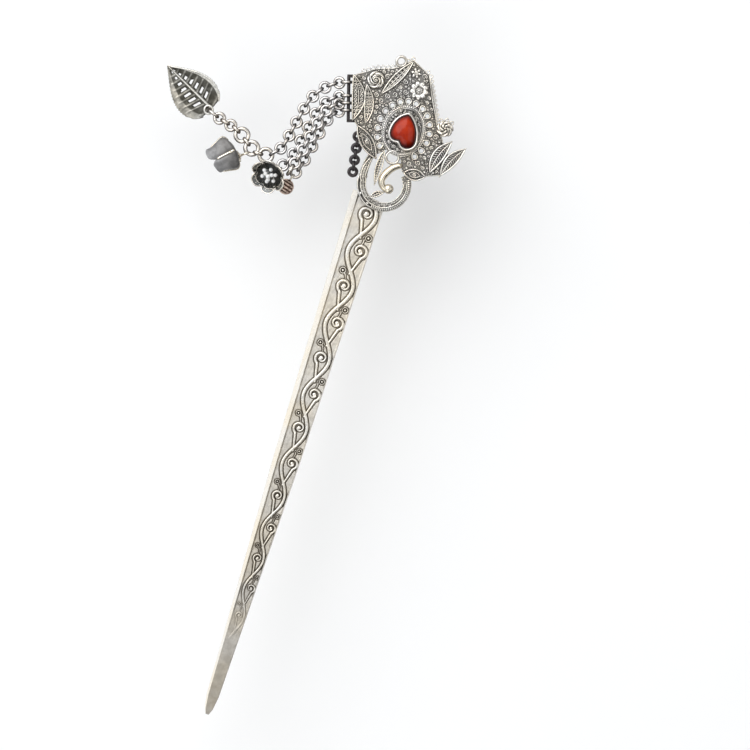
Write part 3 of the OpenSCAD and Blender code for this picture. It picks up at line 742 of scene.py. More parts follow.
def make_stone():
    centre = heart_centre()
    top = node_box("heart_stone")[1][2]
    bezel_top = node_box("bezel_cup")[1][2]
    count = 160
    rows, tones = [], []
    base = heart_outline(-0.03, count)
    side_top = bezel_top - 0.35
    for z in (PLATE, side_top):
        rows.append(flat_path(base + centre, z))
        tones.append(np.zeros(count))
    angle = np.arctan2(base[:, 1], base[:, 0])
    oval = spoke(angle, 3.1 * EAST, 3.7 * NORTH)
    for share in np.linspace(0.985, 0.03, 26):
        blend = (1 - share) ** 0.8
        shape = share * (base * (1 - blend) + oval * blend)
        z = side_top + (top - side_top) * (1 - share**2.6) ** 0.62
        rows.append(flat_path(shape + centre, z))
        # painted light and shade: the tone is dark at the stone's rim and brighter towards the upper left
        upper_left_light = np.clip(0.75 + 0.1 * (shape @ unit((-0.5, 1.0))), 0.3, 1)
        tones.append(np.minimum(1.0, (1 - share) * 3.6) * upper_left_light)
    form = Form()
    form.add(np.array(rows), capped(len(rows), count), np.concatenate(tones))
    form.piece("heart_cabochon", "pin", ["heart_stone"], "red_stone", STONE, False)

    bezel = Form()
    height = bezel_top - PLATE
    wall = [(0.72, 0.0), (0.74, 0.35), (0.7, 0.5), (0.62, 0.62), (0.6, 0.8), (0.52, 0.92), (0.36, 0.99),
            (0.18, 1.0), (0.02, 0.93), (-0.1, 0.84), (-0.12, 0.76), (0.0, 0.7), (0.0, 0.0)]
    loops = [on_plate(heart_outline(g, count) + centre, height * h) for g, h in wall]
    shade = [0.2, 0.6, 0.9, 1, 1, 1, 1, 1, 1, 0.9, 0.5, 0.1, 0.1]
    bezel.add(np.array(loops), [quads(len(wall), count, True, True)], np.repeat(shade, count))
    bezel.piece("bezel_wall", "pin", ["bezel_cup"], "polished_silver", BRIGHT)


# ---------------------------------------------------------------- head trims
taken = []


def reserve(path, radius):
    """Remembers where the plate is covered, for the filigree that fills the rest."""
    path = np.asarray(path, float)[:, :2]
    radius = float(np.max(radius))
    if len(path) > 1:
        path = resample(path, 0.25)
    taken.extend((x, y, radius) for x, y in path)


def rail(form, path, wire, height=0.5, rise=1.5, closed=False, tone=1.0, sides=8):
    """A raised wire soldered on the plate."""
    path = np.asarray(path, float)
    loop = np.vstack([path, path[:1]]) if closed else path
    reserve(loop, wire)
    tube(form, on_plate(path, height), wire, sides, closed, rise, tone)


def seed(form, point, radius, height=0.3, tone=1.0):
    reserve([point], radius)
    grain(form, (point[0], point[1], PLATE + height), radius, tone)


def curl(form, centre, radius, start, turns, wire, height=0.45, tone=1.0):
    """A small scroll with a grain at its eye."""
    path = scroll(centre, radius, radius * 0.28, start, turns, 22)
    widths = np.linspace(wire, wire * 0.7, len(path))
    tube(form, on_plate(path, height), widths, 6, False, 1.3, tone)
    grain(form, (*path[-1], PLATE + height + 0.1), wire * 1.45, tone)
    taken.append((centre[0], centre[1], radius + wire))


def leaf_frame(form, petal, wire=0.2, rib=0.13, height=0.6):
    for side in (1, -1):
        rail(form, petal.edge(side, 26), rail_widths(26, wire), height, 1.6)
    rail(form, petal.edge(0, 22, 0.04, 0.96), rib, height - 0.1, 1.5)


def leaf_sheet(form, petal):
    """The thin dark back of a leaf that stands out past the plate."""
    count = 30
    left, right = petal.edge(1, count), petal.edge(-1, count)
    corners = ((left, 0.25), (left, 0.42), (right, 0.42), (right, 0.25))
    rows = np.array([on_plate(edge, height) for edge, height in corners])
    form.add(rows, [quads(4, count, True, False)], 0.12)


def rail_widths(count, wire):
    return wire * np.interp(np.linspace(0, 1, count), [0, 0.1, 0.9, 1], [0.6, 1, 1, 0.6])


def dotted_cells(form, petal, count, size=0.36):
    """Two rows of little rings and grains on both sides of a leaf's middle rib."""
    for k in range(count):
        t = (k + 0.7) / (count + 0.4)
        room = (petal.left - petal.right) / 2 * 4 * t * (1 - t)
        for side in (-1, 1):
            if room > 0.75:
                radius = min(size, room * 0.27)
                spot = petal.at(t, side * 0.5)
                ring(form, (*spot, PLATE + 0.45), radius, 0.11, 6, 14, 1.3)
                grain(form, (*spot, PLATE + 0.35), radius * 0.42)
                taken.append((*spot, radius + 0.1))
            elif room > 0.35:
                seed(form, petal.at(t, side * 0.45), 0.15, 0.4)


def barbs(form, petal, count, wire=0.12, lean=0.06):
    """Slanting ribs from a feather's quill to its edges."""
    for k in range(count):
        t = 0.06 + 0.86 * (k + 0.5) / count
        for side in (-1, 1):
            start, end = petal.at(t, 0.08 * side), petal.at(min(0.98, t + lean), 0.86 * side)
            rail(form, bow(start, end, 0.08 * side, 6), rail_widths(6, wire), 0.5, 1.5)


def make_wing_leaves():
    for name, cells in (("wing_leaf_1", 12), ("wing_leaf_2", 11)):
        form, petal = Form(), petal_of(name)
        if name == "wing_leaf_1":
            p, q = petal.p + [-1.15, 0.5], petal.q + [-1.2, -0.4]
            petal = Petal(p, q, petal.left + 1.3, petal.right + 0.25)
            leaf_sheet(form, petal)
        leaf_frame(form, petal)
        dotted_cells(form, petal, cells)
        form.piece(name + "_filigree", "pin", [name], "silver", SILVER)


def make_eye_leaves():
    for name in ("eye_leaf_left", "eye_leaf_right"):
        form, petal = Form(), petal_of(name)
        leaf_frame(form, petal, 0.21, 0.01)
        inner = Petal(petal.at(0.24, 0.0), petal.at(0.76, 0.0), petal.left * 0.52, petal.right * 0.52)
        rail(form, inner.outline(14), 0.13, 0.5, 1.4, True)
        spot = petal.at(0.5, 0.0)
        ring(form, (*spot, PLATE + 0.5), 0.38, 0.12, 6, 16, 1.3)
        grain(form, (*spot, PLATE + 0.5), 0.2)
        for t in (0.12, 0.18, 0.82, 0.88):
            seed(form, petal.at(t, 0.0), 0.15, 0.4)
        form.piece(name + "_filigree", "pin", [name], "silver", SILVER)


def make_feathers():
    for name, count in (("feather_right_1", 13), ("feather_right_2", 14)):
        form, petal = Form(), petal_of(name)
        petal = Petal(petal.p, petal.at(0.97, 0), petal.left + 0.2, petal.right - 0.35)
        leaf_sheet(form, petal)
        leaf_frame(form, petal, 0.27, 0.13, 0.62)
        barbs(form, petal, count)
        form.piece(name + "_barbed", "pin", [name], "silver", SILVER)


def make_crest_leaf():
    form, petal = Form(), petal_of("crest_leaf")
    leaf_frame(form, petal, 0.22, 0.12)
    inner = Petal(petal.at(0.1, 0), petal.at(0.9, 0), petal.left * 0.62, petal.right * 0.62)
    rail(form, inner.edge(1, 20), rail_widths(20, 0.12), 0.5, 1.4)
    dotted_cells(form, petal, 10, 0.24)
    form.piece("crest_leaf_filigree", "pin", ["crest_leaf"], "silver", SILVER)


def make_right_rim():
    form, petal = Form(), petal_of("right_rim")
    for side in (1, -1):
        rail(form, petal.edge(side * 0.75, 24), rail_widths(24, 0.17), 0.6, 1.7)
    for t in np.linspace(0.06, 0.94, 26):
        seed(form, petal.at(t, 0.0), 0.13, 0.62)
    form.piece("right_rim_beaded", "pin", ["right_rim"], "polished_silver", BRIGHT)


def halo_oval(grow, angle=np.radians(np.arange(0, 360, 3))):
    """The oval around the stone that the rope ring follows, grown all round."""
    low, high = node_box("rope_ring")
    centre = ((low + high) / 2)[:2]
    a = (high[0] - low[0]) / 2 - 0.25
    b = node_box("halo_lace")[1][1] - centre[1] - 0.9 - 1.15
    return centre + spoke(angle, (a + grow) * EAST, (b + grow) * NORTH)


def make_rope_ring():
    form = Form()
    path = halo_oval(0.0)
    reserve(path, 0.45)
    rope(form, on_plate(path, 0.42), 0.17, 0.19, 1.05, closed=True)
    rail(form, halo_oval(-0.42), 0.12, 0.35, 1.2, True)
    rail(form, halo_oval(0.46), 0.12, 0.35, 1.2, True)
    form.piece("rope_ring_twist", "pin", ["rope_ring"], "silver", BRIGHT)


def make_halo_lace():
    lace = Form()
    centre = node_centre("rope_ring")[:2]
    scallops = 20
    for k in range(scallops):
        degrees = k * 360 / scallops + 9
        if 228 < degrees < 303:
            continue
        angle = math.radians(degrees)
        middle = halo_oval(1.32, np.array([angle]))[0]
        out = unit(middle - centre)
        across = np.array([-out[1], out[0]])
        shape = []
        for s in np.linspace(0, 2 * math.pi, 26)[:-1]:
            depth = math.cos(s)
            spread = math.sin(s) * (0.62 + 0.3 * depth)
            shape.append(middle + out * depth * 0.9 + across * spread * 1.1)
        rail(lace, shape, 0.17, 0.55, 1.5, True)
        taken.append((*middle, 0.75))
        PIERCED.append((middle + out * 0.15, 0.55))
        seed(lace, middle + out * 0.92, 0.22, 0.6)
        between = halo_oval(0.95, np.array([angle + math.pi / scallops]))[0]
        seed(lace, between, 0.17, 0.5)
        rim = halo_oval(2.35, np.array([angle + math.pi / scallops]))[0]
        if over_plate(rim, 0.3):
            curl(lace, rim, 0.34, math.degrees(angle), 1.0, 0.1)
    lace.piece("halo_lace_scallops", "pin", ["halo_lace"], "silver", SILVER)


PIERCED = []
plate_tree = BVHTree.FromObject(frame["nodes"]["backplate"], bpy.context.evaluated_depsgraph_get())


def over_plate(point, margin):
    """True where the plate lies under a circle of that radius."""
    for x, y in point + margin * spoke(around(8), EAST, NORTH):
        hit = plate_tree.ray_cast(Vector((x * MM, y * MM, 0.02)), Vector((0, 0, -1)))
        if hit[0] is None:
            return False
    return True


def flower_bed(node, share=1.0):
    """A new form with the centre and radius of a CAD flower, its place on the plate taken."""
    centre, radius = node_centre(node)[:2], node_radius(node) * share
    taken.append((*centre, radius))
    return Form(), centre, radius


def make_rose():
    form, centre, radius = flower_bed("rose_left")
    ball(form, (*centre, PLATE + 0.1), radius * 0.92, 0.35, 24, 7, 0.3)
    for k in range(5):
        angle = k * 72 + 20
        start = scroll(centre, radius * 0.92, radius * 0.62, angle, 0.3, 12)
        widths = 0.42 * np.sin(np.linspace(0.25, 2.9, 12))
        tube(form, on_plate(start, 0.75), widths, 8, False, 1.5)
    for k in range(3):
        angle = k * 120 + 50
        start = scroll(centre, radius * 0.58, radius * 0.34, angle, 0.42, 12)
        widths = 0.3 * np.sin(np.linspace(0.3, 2.9, 12))
        tube(form, on_plate(start, 1.15), widths, 8, False, 1.7)
    path = scroll(centre, radius * 0.36, 0.1, 10, 1.4, 24)
    tube(form, on_plate(path, 1.5), 0.17, 8, False, 1.8)
    ball(form, (*centre, PLATE + 1.75), 0.24, 1.0)
    form.piece("rose_left_petals", "pin", ["rose_left"], "silver", SILVER)


def make_daisy():
    form, centre, radius = flower_bed("daisy_top")
    ball(form, (*centre, PLATE + 0.1), radius * 0.6, 0.4, 20, 6, 0.3)
    petals = 9
    t = np.linspace(0, 1, 12)
    for k in range(petals):
        out = spoke(math.radians(k * 360 / petals), EAST, NORTH)
        path = on_plate(centre + np.outer(0.7 + (radius - 0.95) * t, out), 0.55 + 0.5 * np.sin(t * 2.3))
        widths = 0.68 * np.sin(np.pi * np.clip(0.12 + 0.86 * t, 0, 1)) ** 0.6
        tube(form, path, widths, 12, False, 0.75, 1.0, 0.55)
    for k in range(8):
        spot = centre + 0.55 * spoke(k * math.pi / 4, EAST, NORTH)
        grain(form, (*spot, PLATE + 1.35), 0.24)
    ball(form, (*centre, PLATE + 1.5), 0.4, 0.9)
    form.piece("daisy_top_petals", "pin", ["daisy_top"], "silver", SILVER)


def make_bud_flower():
    form, centre, radius = flower_bed("bud_flower_top")
    for k in range(6):
        out = spoke(math.radians(k * 60), EAST, NORTH)
        path = on_plate(centre + np.outer(np.linspace(0.3, radius * 0.95, 8), out), 0.6)
        tube(form, path, 0.36 * np.sin(np.linspace(0.35, 2.85, 8)), 8, False, 1.2, 1.0, 0.4)
    ring(form, (*centre, PLATE + 1.05), 0.42, 0.16, 6, 16)
    ball(form, (*centre, PLATE + 1.15), 0.3, 1.0)
    form.piece("bud_flower_top_petals", "pin", ["bud_flower_top"], "silver", SILVER)


def make_rosette():
    form, centre, radius = flower_bed("rosette_right", 0.96)
    ball(form, (*centre, PLATE + 0.15), radius * 0.8, 0.75, 24, 8, 0.15)
    rows = ((0.98, 0.5, 0.75, 7, 0.42), (0.62, 0.2, 1.4, 5, 0.32))
    for layer, (far, near, z, count, wide) in enumerate(rows):
        widths = wide * np.sin(np.linspace(0.3, 2.95, 12))
        for k in range(count):
            start = k * 360 / count + layer * 30
            path = scroll(centre, radius * far, radius * near, start, 0.22, 12)
            tube(form, on_plate(path, z + np.linspace(0, 0.55, 12)), widths, 8, False, 1.3, 1.0, 0.3)
    ball(form, (*centre, PLATE + 2.0), 0.33, 0.9)
    form.piece("rosette_right_petals", "pin", ["rosette_right"], "silver", SILVER)


CRESCENT_RADIUS = 5.9


def crescent_centre():
    low, high = node_box("crescent_scroll")
    return np.array([high[0] - CRESCENT_RADIUS - 0.05, low[1] + CRESCENT_RADIUS + 0.05])


def make_crescent_band():
    centre, radius = crescent_centre(), CRESCENT_RADIUS
    base = centre + [-radius, 0.2]
    arm = bow(base, base + np.array([0.7, 5.4]), 0.35, 24)[::-1]
    spine = np.vstack([arm, arc(centre, radius - 0.45, 186, 384, 80)])
    spine = resample(spine, 0.35)
    n = len(spine)
    form = Form()
    reserve(spine, 0.8)
    band = np.interp(np.linspace(0, 1, n), [0, 0.12, 0.6, 0.92, 1], [0.25, 0.62, 0.62, 0.5, 0.2])
    tube(form, on_plate(spine, 0.2), band, 12, False, 0.85, 0.45)
    out = np.array([left_of(v) for v in np.gradient(spine, axis=0)])
    for sign, wire in ((1, 0.15), (-1, 0.2)):
        edge = spine + out * (band * 0.98)[:, None] * sign
        tube(form, on_plate(edge, 0.6), rail_widths(n, wire), 8, False, 1.6)
    for k in range(2, n - 3, 2):
        share = k / n
        if share < 0.72:
            curl_at = spine[k] + out[k] * 0.12 * (-1) ** (k // 2)
            path = scroll(curl_at, band[k] * 0.5, 0.1, 90 * k, 0.9, 12)
            tube(form, on_plate(path, 0.72), 0.09, 6, False, 1.3)
        else:
            grain(form, (*spine[k], PLATE + 0.75), 0.17)
    form.piece("crescent_scroll_band", "pin", ["crescent_scroll"], "silver", SILVER)


def make_beaded_edge():
    centre, radius = crescent_centre(), CRESCENT_RADIUS
    edge = Form()
    ribs = 30
    for k in range(ribs):
        angle = math.radians(258 + (386 - 258) * k / (ribs - 1))
        out = spoke(angle, EAST, NORTH)
        path = on_plate(centre + np.outer(np.linspace(radius + 0.1, radius + 1.05, 7), out), 0.28)
        tube(edge, path, 0.25 * np.sin(np.linspace(0.5, 2.7, 7)), 8, False, 1.5)
    tube(edge, on_plate(arc(centre, radius + 0.12, 256, 388, 60), 0.35), rail_widths(60, 0.13), 6, False, 1.5)
    # a smooth bright rail runs along the lower left edge, where the head laps the blade
    rim = arc(centre, radius + 1.0, 176, 258, 50)
    tube(edge, on_plate(rim, 0.12), rail_widths(50, 0.24), 8, False, 1.3)
    reserve(arc(centre, radius + 0.6, 176, 388, 60), 0.6)
    edge.piece("beaded_edge_milled", "pin", ["beaded_edge"], "polished_silver", BRIGHT)


def make_curl_scroll():
    low, high = node_box("curl_scroll")
    end = np.array([low[0] + 2.7, low[1] + 3.05])
    path = np.vstack([
        bow((high[0] - 0.2, high[1] - 0.35), end + [-2.0, 0.6], -0.75, 24),
        arc(end, 2.1, 178, 262, 24),
    ])
    path = resample(path, 0.2)
    for _ in range(4):
        path[1:-1] = (path[:-2] + 2 * path[1:-1] + path[2:]) / 4
    n = len(path)
    curl_form = Form()
    widths = np.interp(np.linspace(0, 1, n), [0, 0.06, 0.5, 1], [0.3, 0.8, 1.0, 0.75])
    tube(curl_form, on_plate(path, 0.75), widths, 16, False, 1.2, 1.0)
    ball(curl_form, (end[0] + 0.3, end[1] - 1.8, PLATE + 0.9), 1.3, 0.8, 24, 13)
    curl_form.piece("curl_scroll_polished", "pin", ["curl_scroll"], "polished_silver", WARM)
    reserve(path, 0.7)


def make_teardrop_loop():
    loop = Form()
    centre, radius = node_centre("teardrop_loop")[:2], node_radius("teardrop_loop") - 0.28
    shape = []
    for s in np.linspace(0, 2 * math.pi, 40)[:-1]:
        x = math.sin(s) * (1 - 0.22 * math.cos(s))
        shape.append(centre + radius * np.array([x, math.cos(s)]))
    rail(loop, shape, 0.28, 0.55, 1.6, True)
    taken.append((*centre, radius))
    loop.piece("teardrop_loop_wire", "pin", ["teardrop_loop"], "polished_silver", BRIGHT)


def make_inner_fronds():
    fronds = Form()
    low, high = node_box("inner_fronds")
    long_frond = Petal((low[0] + 0.8, high[1]), (low[0] + 1.0, high[1] - 9.1), 0.6, -1.0)
    short_frond = Petal((low[0] + 3.9, low[1] + 2.3), (low[0] + 0.9, low[1]), 0.4, -0.9)
    for petal, count in ((long_frond, 12), (short_frond, 5)):
        leaf_frame(fronds, petal, 0.17, 0.1)
        barbs(fronds, petal, count, 0.1)
    fronds.piece("inner_fronds_barbed", "pin", ["inner_fronds"], "silver", SILVER)


def plate_loops():
    """The borders of the plate's upper face as closed lines."""
    mesh = frame["nodes"]["backplate"].data
    points = node_points("backplate")
    key = {}
    name = [key.setdefault(tuple(np.round(p, 3)), len(key)) for p in points]
    spots = np.array(list(key))
    edges = set()
    for face in mesh.polygons:
        if face.normal.z > 0.9:
            ids = [name[v] for v in face.vertices]
            edges.update(zip(ids, ids[1:] + ids[:1]))
    after = {p: q for p, q in edges if (q, p) not in edges}
    loops = []
    while after:
        start, at = next(iter(after.items()))
        loop = [start]
        del after[start]
        while at != start and at in after:
            loop.append(at)
            at = after.pop(at)
        loops.append(spots[loop][:, :2])
    return [loop for loop in loops if len(loop) > 8]


def make_rim():
    """Grains along the borders of the plate, and lace loops along its free upper edges."""
    form = Form()
    loops = sorted(plate_loops(), key=lambda loop: -np.ptp(loop[:, 1]))
    for number, loop in enumerate(loops):
        closed = resample(np.vstack([loop, loop[:1]]), 0.42)[:-1]
        ways = unit(np.roll(closed, -1, 0) - np.roll(closed, 1, 0))
        inward = np.column_stack([-ways[:, 1], ways[:, 0]])
        if not over_plate(closed[0] + inward[0] * 0.3, 0.05):
            inward = -inward
        for k, (spot, side) in enumerate(zip(closed, inward)):
            if number == 0 or k % 2 == 0:
                grain(form, (*(spot + side * 0.12), PLATE + 0.02), 0.24)
            taken.append((*(spot + side * 0.12), 0.2))
            top_edge = spot[1] > 33 and spot[0] < 0.5
            right_edge = spot[0] > 4 and 26.5 < spot[1] < 38
            if number == 0 and k % 3 == 0 and (top_edge or right_edge):
                loop_at = spot - side * 0.28
                ring(form, (*loop_at, PLATE + 0.05), 0.46, 0.15, 6, 16, 1.3)
                grain(form, (*(spot - side * 0.85), PLATE + 0.05), 0.2)
    form.piece("plate_rim_grains", "pin", [], "silver", SILVER)


def make_fill():
    """Small scrolls, rings and grains over every part of the plate that is still bare."""
    form = Form()
    low, high = node_box("backplate")
    kept = list(taken)
    for radius, tries in ((0.8, 700), (0.6, 1600), (0.44, 2600), (0.3, 4200), (0.19, 9000), (0.12, 14000)):
        tree = KDTree(len(kept))
        for i, (x, y, _) in enumerate(kept):
            tree.insert((x, y, 0), i)
        tree.balance()
        fresh = []
        for x, y in rng.uniform(low[:2], high[:2], (tries, 2)):
            near = tree.find_range((x, y, 0), radius + 2.4)
            if any(gap < radius + kept[i][2] + 0.01 for _, i, gap in near):
                continue
            if any((x - a) ** 2 + (y - b) ** 2 < (radius + c + 0.02) ** 2 for a, b, c in fresh):
                continue
            if not over_plate((x, y), radius + 0.08):
                continue
            fresh.append((x, y, radius))
            fill_spot(form, x, y, radius)
        kept += fresh
    form.piece("scroll_fill_filigree", "pin", ["scroll_fill"], "silver", SILVER)


def fill_spot(form, x, y, radius):
    turn, hand = rng.uniform(0, 360), (1 if rng.random() < 0.5 else -1)
    if radius > 0.5:
        path = scroll((x, y), radius - 0.09, radius * 0.22, turn, 1.35 * hand, 26)
        tube(form, on_plate(path, 0.46), np.linspace(0.15, 0.1, 26), 6, False, 1.6)
        grain(form, (*path[-1], PLATE + 0.55), 0.17)
        PIERCED.append((np.array([x, y]) - 0.45 * radius * unit(path[-1] - [x, y]), radius * 0.22))
    elif radius > 0.4:
        path = scroll((x, y), radius - 0.09, radius * 0.3, turn, 1.05 * hand, 18)
        tube(form, on_plate(path, 0.44), np.linspace(0.13, 0.1, 18), 6, False, 1.6)
    elif radius > 0.25:
        ring(form, (x, y, PLATE + 0.44), radius - 0.1, 0.105, 6, 14, 1.5)
        PIERCED.append((np.array([x, y]), radius * 0.38))
    else:
        grain(form, (x, y, PLATE + 0.36), radius)


def make_plate():
    """The CAD plate with the openings of the lace cut through it."""
    source = frame["nodes"]["backplate"]
    plate = bpy.data.objects.new("head_ground", source.data.copy())
    bpy.context.scene.collection.objects.link(plate)
    cutters = Form()
    low, high = node_box("backplate")
    for spot, radius in PIERCED:
        circle = spot + radius * spoke(around(12), EAST, NORTH)
        walls = np.vstack([flat_path(circle, low[2] - 1), flat_path(circle, high[2] + 1)])
        cutters.add(walls, capped(2, 12))
    mesh = bpy.data.meshes.new("cutters")
    mesh.from_pydata(np.concatenate(cutters.points) * MM, [], cutters.faces)
    tool = bpy.data.objects.new("cutters", mesh)
    bpy.context.scene.collection.objects.link(tool)
    cut = plate.modifiers.new("openings", "BOOLEAN")
    cut.operation, cut.solver, cut.object = "DIFFERENCE", "EXACT", tool
    bpy.context.view_layer.update()
    solid = plate.evaluated_get(bpy.context.evaluated_depsgraph_get())
    result = bpy.data.meshes.new_from_object(solid)
    plate.modifiers.clear()
    plate.data = result
    bpy.data.objects.remove(tool)
    result.materials.clear()
    result.materials.append(GROUND)
    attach(plate, "pin")
    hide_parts("backplate")


def make_eyelet():
    low, high = node_box("top_eyelet")
    centre = (low + high) / 2
    outer = (high[0] - low[0]) / 2
    form = Form()
    middle = (outer + 0.85) / 2
    wire = (outer - 0.85) / 2
    ring(form, (centre[0], centre[1], centre[2]), middle, wire, 16, 40, (high[2] - low[2]) / 2 / wire)
    form.piece("top_eyelet_ring", "pin", ["top_eyelet"], "polished_silver", BRIGHT)


# ---------------------------------------------------------------- charms
def make_leaf_charm():
    hinge = joint_place("leaf_charm_swing")[:2]
    flat = node_points("leaf_charm")[:, :2]
    low, high = node_box("leaf_charm")
    tip = flat[np.linalg.norm(flat - hinge, axis=1).argmax()]
    along = unit(tip - hinge)
    back = float(((flat - hinge) @ along).min())
    half = float(np.abs((flat - hinge) @ left_of(along)).max())
    along = unit(along + left_of(along) * -0.08)
    across = left_of(along)
    foot = hinge + along * (back + 0.35) - across * 0.8
    length = float((tip - foot) @ along) + 1.25
    middle, lift = (low[2] + high[2]) / 2, (high[2] - low[2]) / 2

    def width(t):
        t = np.clip(t, 0, 1)
        return half * 1.03 * np.sin(np.pi * t**0.62) ** (0.55 + 0.55 * t)

    def spot(s, w, side):
        """Share s along a rib, share w from the middle rib to the edge; side 1 is the wide half."""
        s, w = np.asarray(s, float), np.asarray(w, float)
        x = s + 0.15 * w * (1 - s) * np.minimum(1, s / 0.12)
        tooth = np.abs(((s * 19) % 1) - 0.5) * 0.09
        edge = 1 + tooth * np.clip((w - 0.72) / 0.28, 0, 1)
        y = side * w * width(x) * edge * (1.17 if side > 0 else 0.98)
        z = middle - lift * 0.6 + lift * 1.2 * w**1.6 * np.sin(np.pi * np.clip(x, 0, 1)) ** 0.5
        flat_spot = foot + np.multiply.outer(x * length, along) + np.multiply.outer(y, across)
        return np.concatenate([flat_spot, z[..., None]], -1)

    form = Form()
    rows, columns, period = 98, 17, 11
    s = np.linspace(0.015, 0.985, rows)
    w = np.concatenate([[0.0], np.linspace(0.1, 1, columns - 1)])
    S, W = np.meshgrid(s, w, indexing="ij")
    cells = quads(rows, columns)
    row, column = cells[:, 0] // columns, cells[:, 0] % columns
    reach = 7 - (row > 50) - (row > 66) - (row > 78)
    between_ribs = (row > 12) & (row < 87) & (row % period >= 5) & (row % period <= 8)
    hole = between_ribs & (column >= 2) & (column < reach)
    keep, gone = cells[~hole], cells[hole]
    count = rows * columns
    lip = np.zeros(count, bool)
    lip[gone.ravel()] = True
    thick = 0.34
    place = np.arange(rows) % period
    ridge = (0.14 * np.exp(-(((place - 1.5) / 1.4) ** 2)))[:, None]
    ridge = ridge * np.clip(W / 0.1, 0, 1) * np.clip((0.85 - W) / 0.1, 0, 1)
    for side in (1, -1):
        margin = 1.0 if side < 0 else 0.5
        top = spot(S, W, side)
        top[..., 2] += thick / 2 + ridge
        bottom = spot(S, W, side)
        bottom[..., 2] -= thick / 2
        tone = 0.17 + 1.7 * ridge
        tone = np.where(W > (0.84 if side < 0 else 0.7), margin, tone).ravel()
        tone[lip] = 0.04
        edges = set()
        for face in keep.tolist():
            edges.update(zip(face, face[1:] + face[:1]))
        walls = [(q, p, p + count, q + count) for p, q in edges if (q, p) not in edges]
        form.add(
            np.concatenate([top.reshape(-1, 3), bottom.reshape(-1, 3)]),
            [keep, keep[:, ::-1] + count, np.array(walls)],
            np.concatenate([tone, np.full(count, 0.4)]),
        )
        rim = spot(np.linspace(0.01, 0.985, 150), np.full(150, 0.97), side)
        rim[:, 2] += 0.06
        tube(form, rim, rail_widths(150, 0.26 if side < 0 else 0.18), 8, tone=margin)
    rib = spot(np.linspace(0.0, 0.97, 40), np.zeros(40), 1)
    rib[:, 2] += 0.16
    tube(form, rib, np.interp(np.linspace(0, 1, 40), [0, 0.1, 1], [0.36, 0.4, 0.16]), 10, False, 0.8, 0.9)
    collar = np.array([*(hinge + along * 0.25), middle])
    ring(form, collar, 1.05, 0.36, 10, 32, 1.1)
    return form.piece("leaf_charm_veined", "leaf_charm", ["leaf_charm"], "silver", LEAF)


def axis_of(node, joint):
    """Foot, direction, length and radius of a turned CAD node that points away from a joint."""
    points = node_points(node)
    middle = points.mean(0)
    weights, ways = np.linalg.eigh(np.cov((points - middle).T))
    along = ways[:, 2] if weights[1] - weights[0] < weights[2] - weights[1] else ways[:, 0]
    if along @ (middle - joint_place(joint)) < 0:
        along = -along
    reach = (points - middle) @ along
    radius = np.linalg.norm(np.cross(points - middle, along), axis=1).max()
    return middle + along * reach.min(), along, float(reach.max() - reach.min()), float(radius)


def turned(axis, azimuth, elevation):
    """The axis turned by so many degrees round the vertical and lifted by so many more."""
    level = math.hypot(axis[0], axis[1])
    a = math.atan2(axis[1], axis[0]) + math.radians(azimuth)
    e = math.atan2(axis[2], level) + math.radians(elevation)
    return np.array([math.cos(e) * math.cos(a), math.cos(e) * math.sin(a), math.sin(e)])


